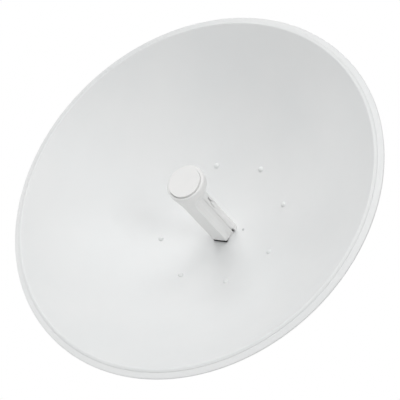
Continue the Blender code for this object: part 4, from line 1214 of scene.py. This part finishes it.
def make_floor():
    """A wide pale floor, well below the dish."""
    material, tree, shader = shader_material("pale_floor", (0.82, 0.82, 0.82), 0.7)
    tree.links.new(spread(tree, noise(tree, 1.5), 0.3, 0.7, 0.65, 0.8), shader.inputs["Roughness"])
    reach = 12.0
    mesh = bpy.data.meshes.new("floor")
    corners = [(-reach, -reach, FLOOR_HEIGHT), (reach, -reach, FLOOR_HEIGHT),
               (reach, reach, FLOOR_HEIGHT), (-reach, reach, FLOOR_HEIGHT)]
    mesh.from_pydata(corners, [], [(0, 1, 2, 3)])
    mesh.materials.append(material)
    floor = bpy.data.objects.new("floor", mesh)
    bpy.context.scene.collection.objects.link(floor)


def aimed(thing, place, aim, roll=0.0):
    """Stand a camera or a light at a place, look at a point, and lean by a roll."""
    look = (Vector(aim) - Vector(place)).to_track_quat("-Z", "Y").to_matrix().to_4x4()
    thing.matrix_world = Matrix.Translation(place) @ look @ Matrix.Rotation(math.radians(roll), 4, "Z")


def make_camera():
    """The photograph's viewpoint: low, to the right, and leaning."""
    camera = bpy.data.objects.new("camera", bpy.data.cameras.new("camera"))
    bpy.context.scene.collection.objects.link(camera)
    camera.data.lens = CAMERA_LENS
    camera.data.clip_end = 60.0
    aimed(camera, CAMERA_PLACE, CAMERA_AIM, CAMERA_ROLL)
    bpy.context.scene.camera = camera


def soft_sun(name, elevation, azimuth, strength, spread_angle=SUN_SPREAD):
    """A wide soft source far away: its azimuth is counted from the beam towards +X."""
    light = bpy.data.lights.new(name, "SUN")
    light.energy = strength
    light.angle = math.radians(spread_angle)
    item = bpy.data.objects.new(name, light)
    bpy.context.scene.collection.objects.link(item)
    rise, swing = math.radians(elevation), math.radians(azimuth)
    toward = (math.cos(rise) * math.sin(swing), -math.cos(rise) * math.cos(swing), math.sin(rise))
    item.matrix_world = Vector(toward).to_track_quat("Z", "Y").to_matrix().to_4x4()


def make_light():
    """White surroundings that light only faintly, and wide soft sources: most of the light
    comes from in front and above, a little from below at the sides, and some from behind."""
    scene = bpy.context.scene
    scene.view_settings.view_transform = "Standard"
    world = bpy.data.worlds.new("studio")
    world.use_nodes = True
    scene.world = world
    tree = world.node_tree
    shine = tree.nodes["Background"]
    rays = tree.nodes.new("ShaderNodeLightPath")
    seen = tree.nodes.new("ShaderNodeMix")
    tree.links.new(rays.outputs["Is Camera Ray"], seen.inputs["Factor"])
    seen.inputs["A"].default_value = ROOM_GLOW
    seen.inputs["B"].default_value = 1.0
    tree.links.new(seen.outputs["Result"], shine.inputs["Strength"])
    shine.inputs["Color"].default_value = (1.0, 1.0, 1.0, 1.0)
    for number, (elevation, azimuth, strength) in enumerate(SUNS, 1):
        soft_sun(f"soft_source_{number}", elevation, azimuth, strength)


paint = paint_material()
plastic = plastic_material()
zinc = zinc_material()
dark = dark_material()
make_camera()
make_light()
make_floor()
dress_nodes(paint, plastic, zinc)
make_reflector(paint)
make_hub_plate(paint)
make_ring_fasteners(paint, zinc)
make_feed_body(plastic, dark)
make_cap(plastic)
make_side_screws(zinc)
make_tilt_frame(paint)
make_mast_bracket(zinc)
make_jaws(zinc)
make_clamp_bolts(zinc)
make_tilt_bolts(zinc)
make_rivets(zinc)
make_housing(plastic, dark, zinc)
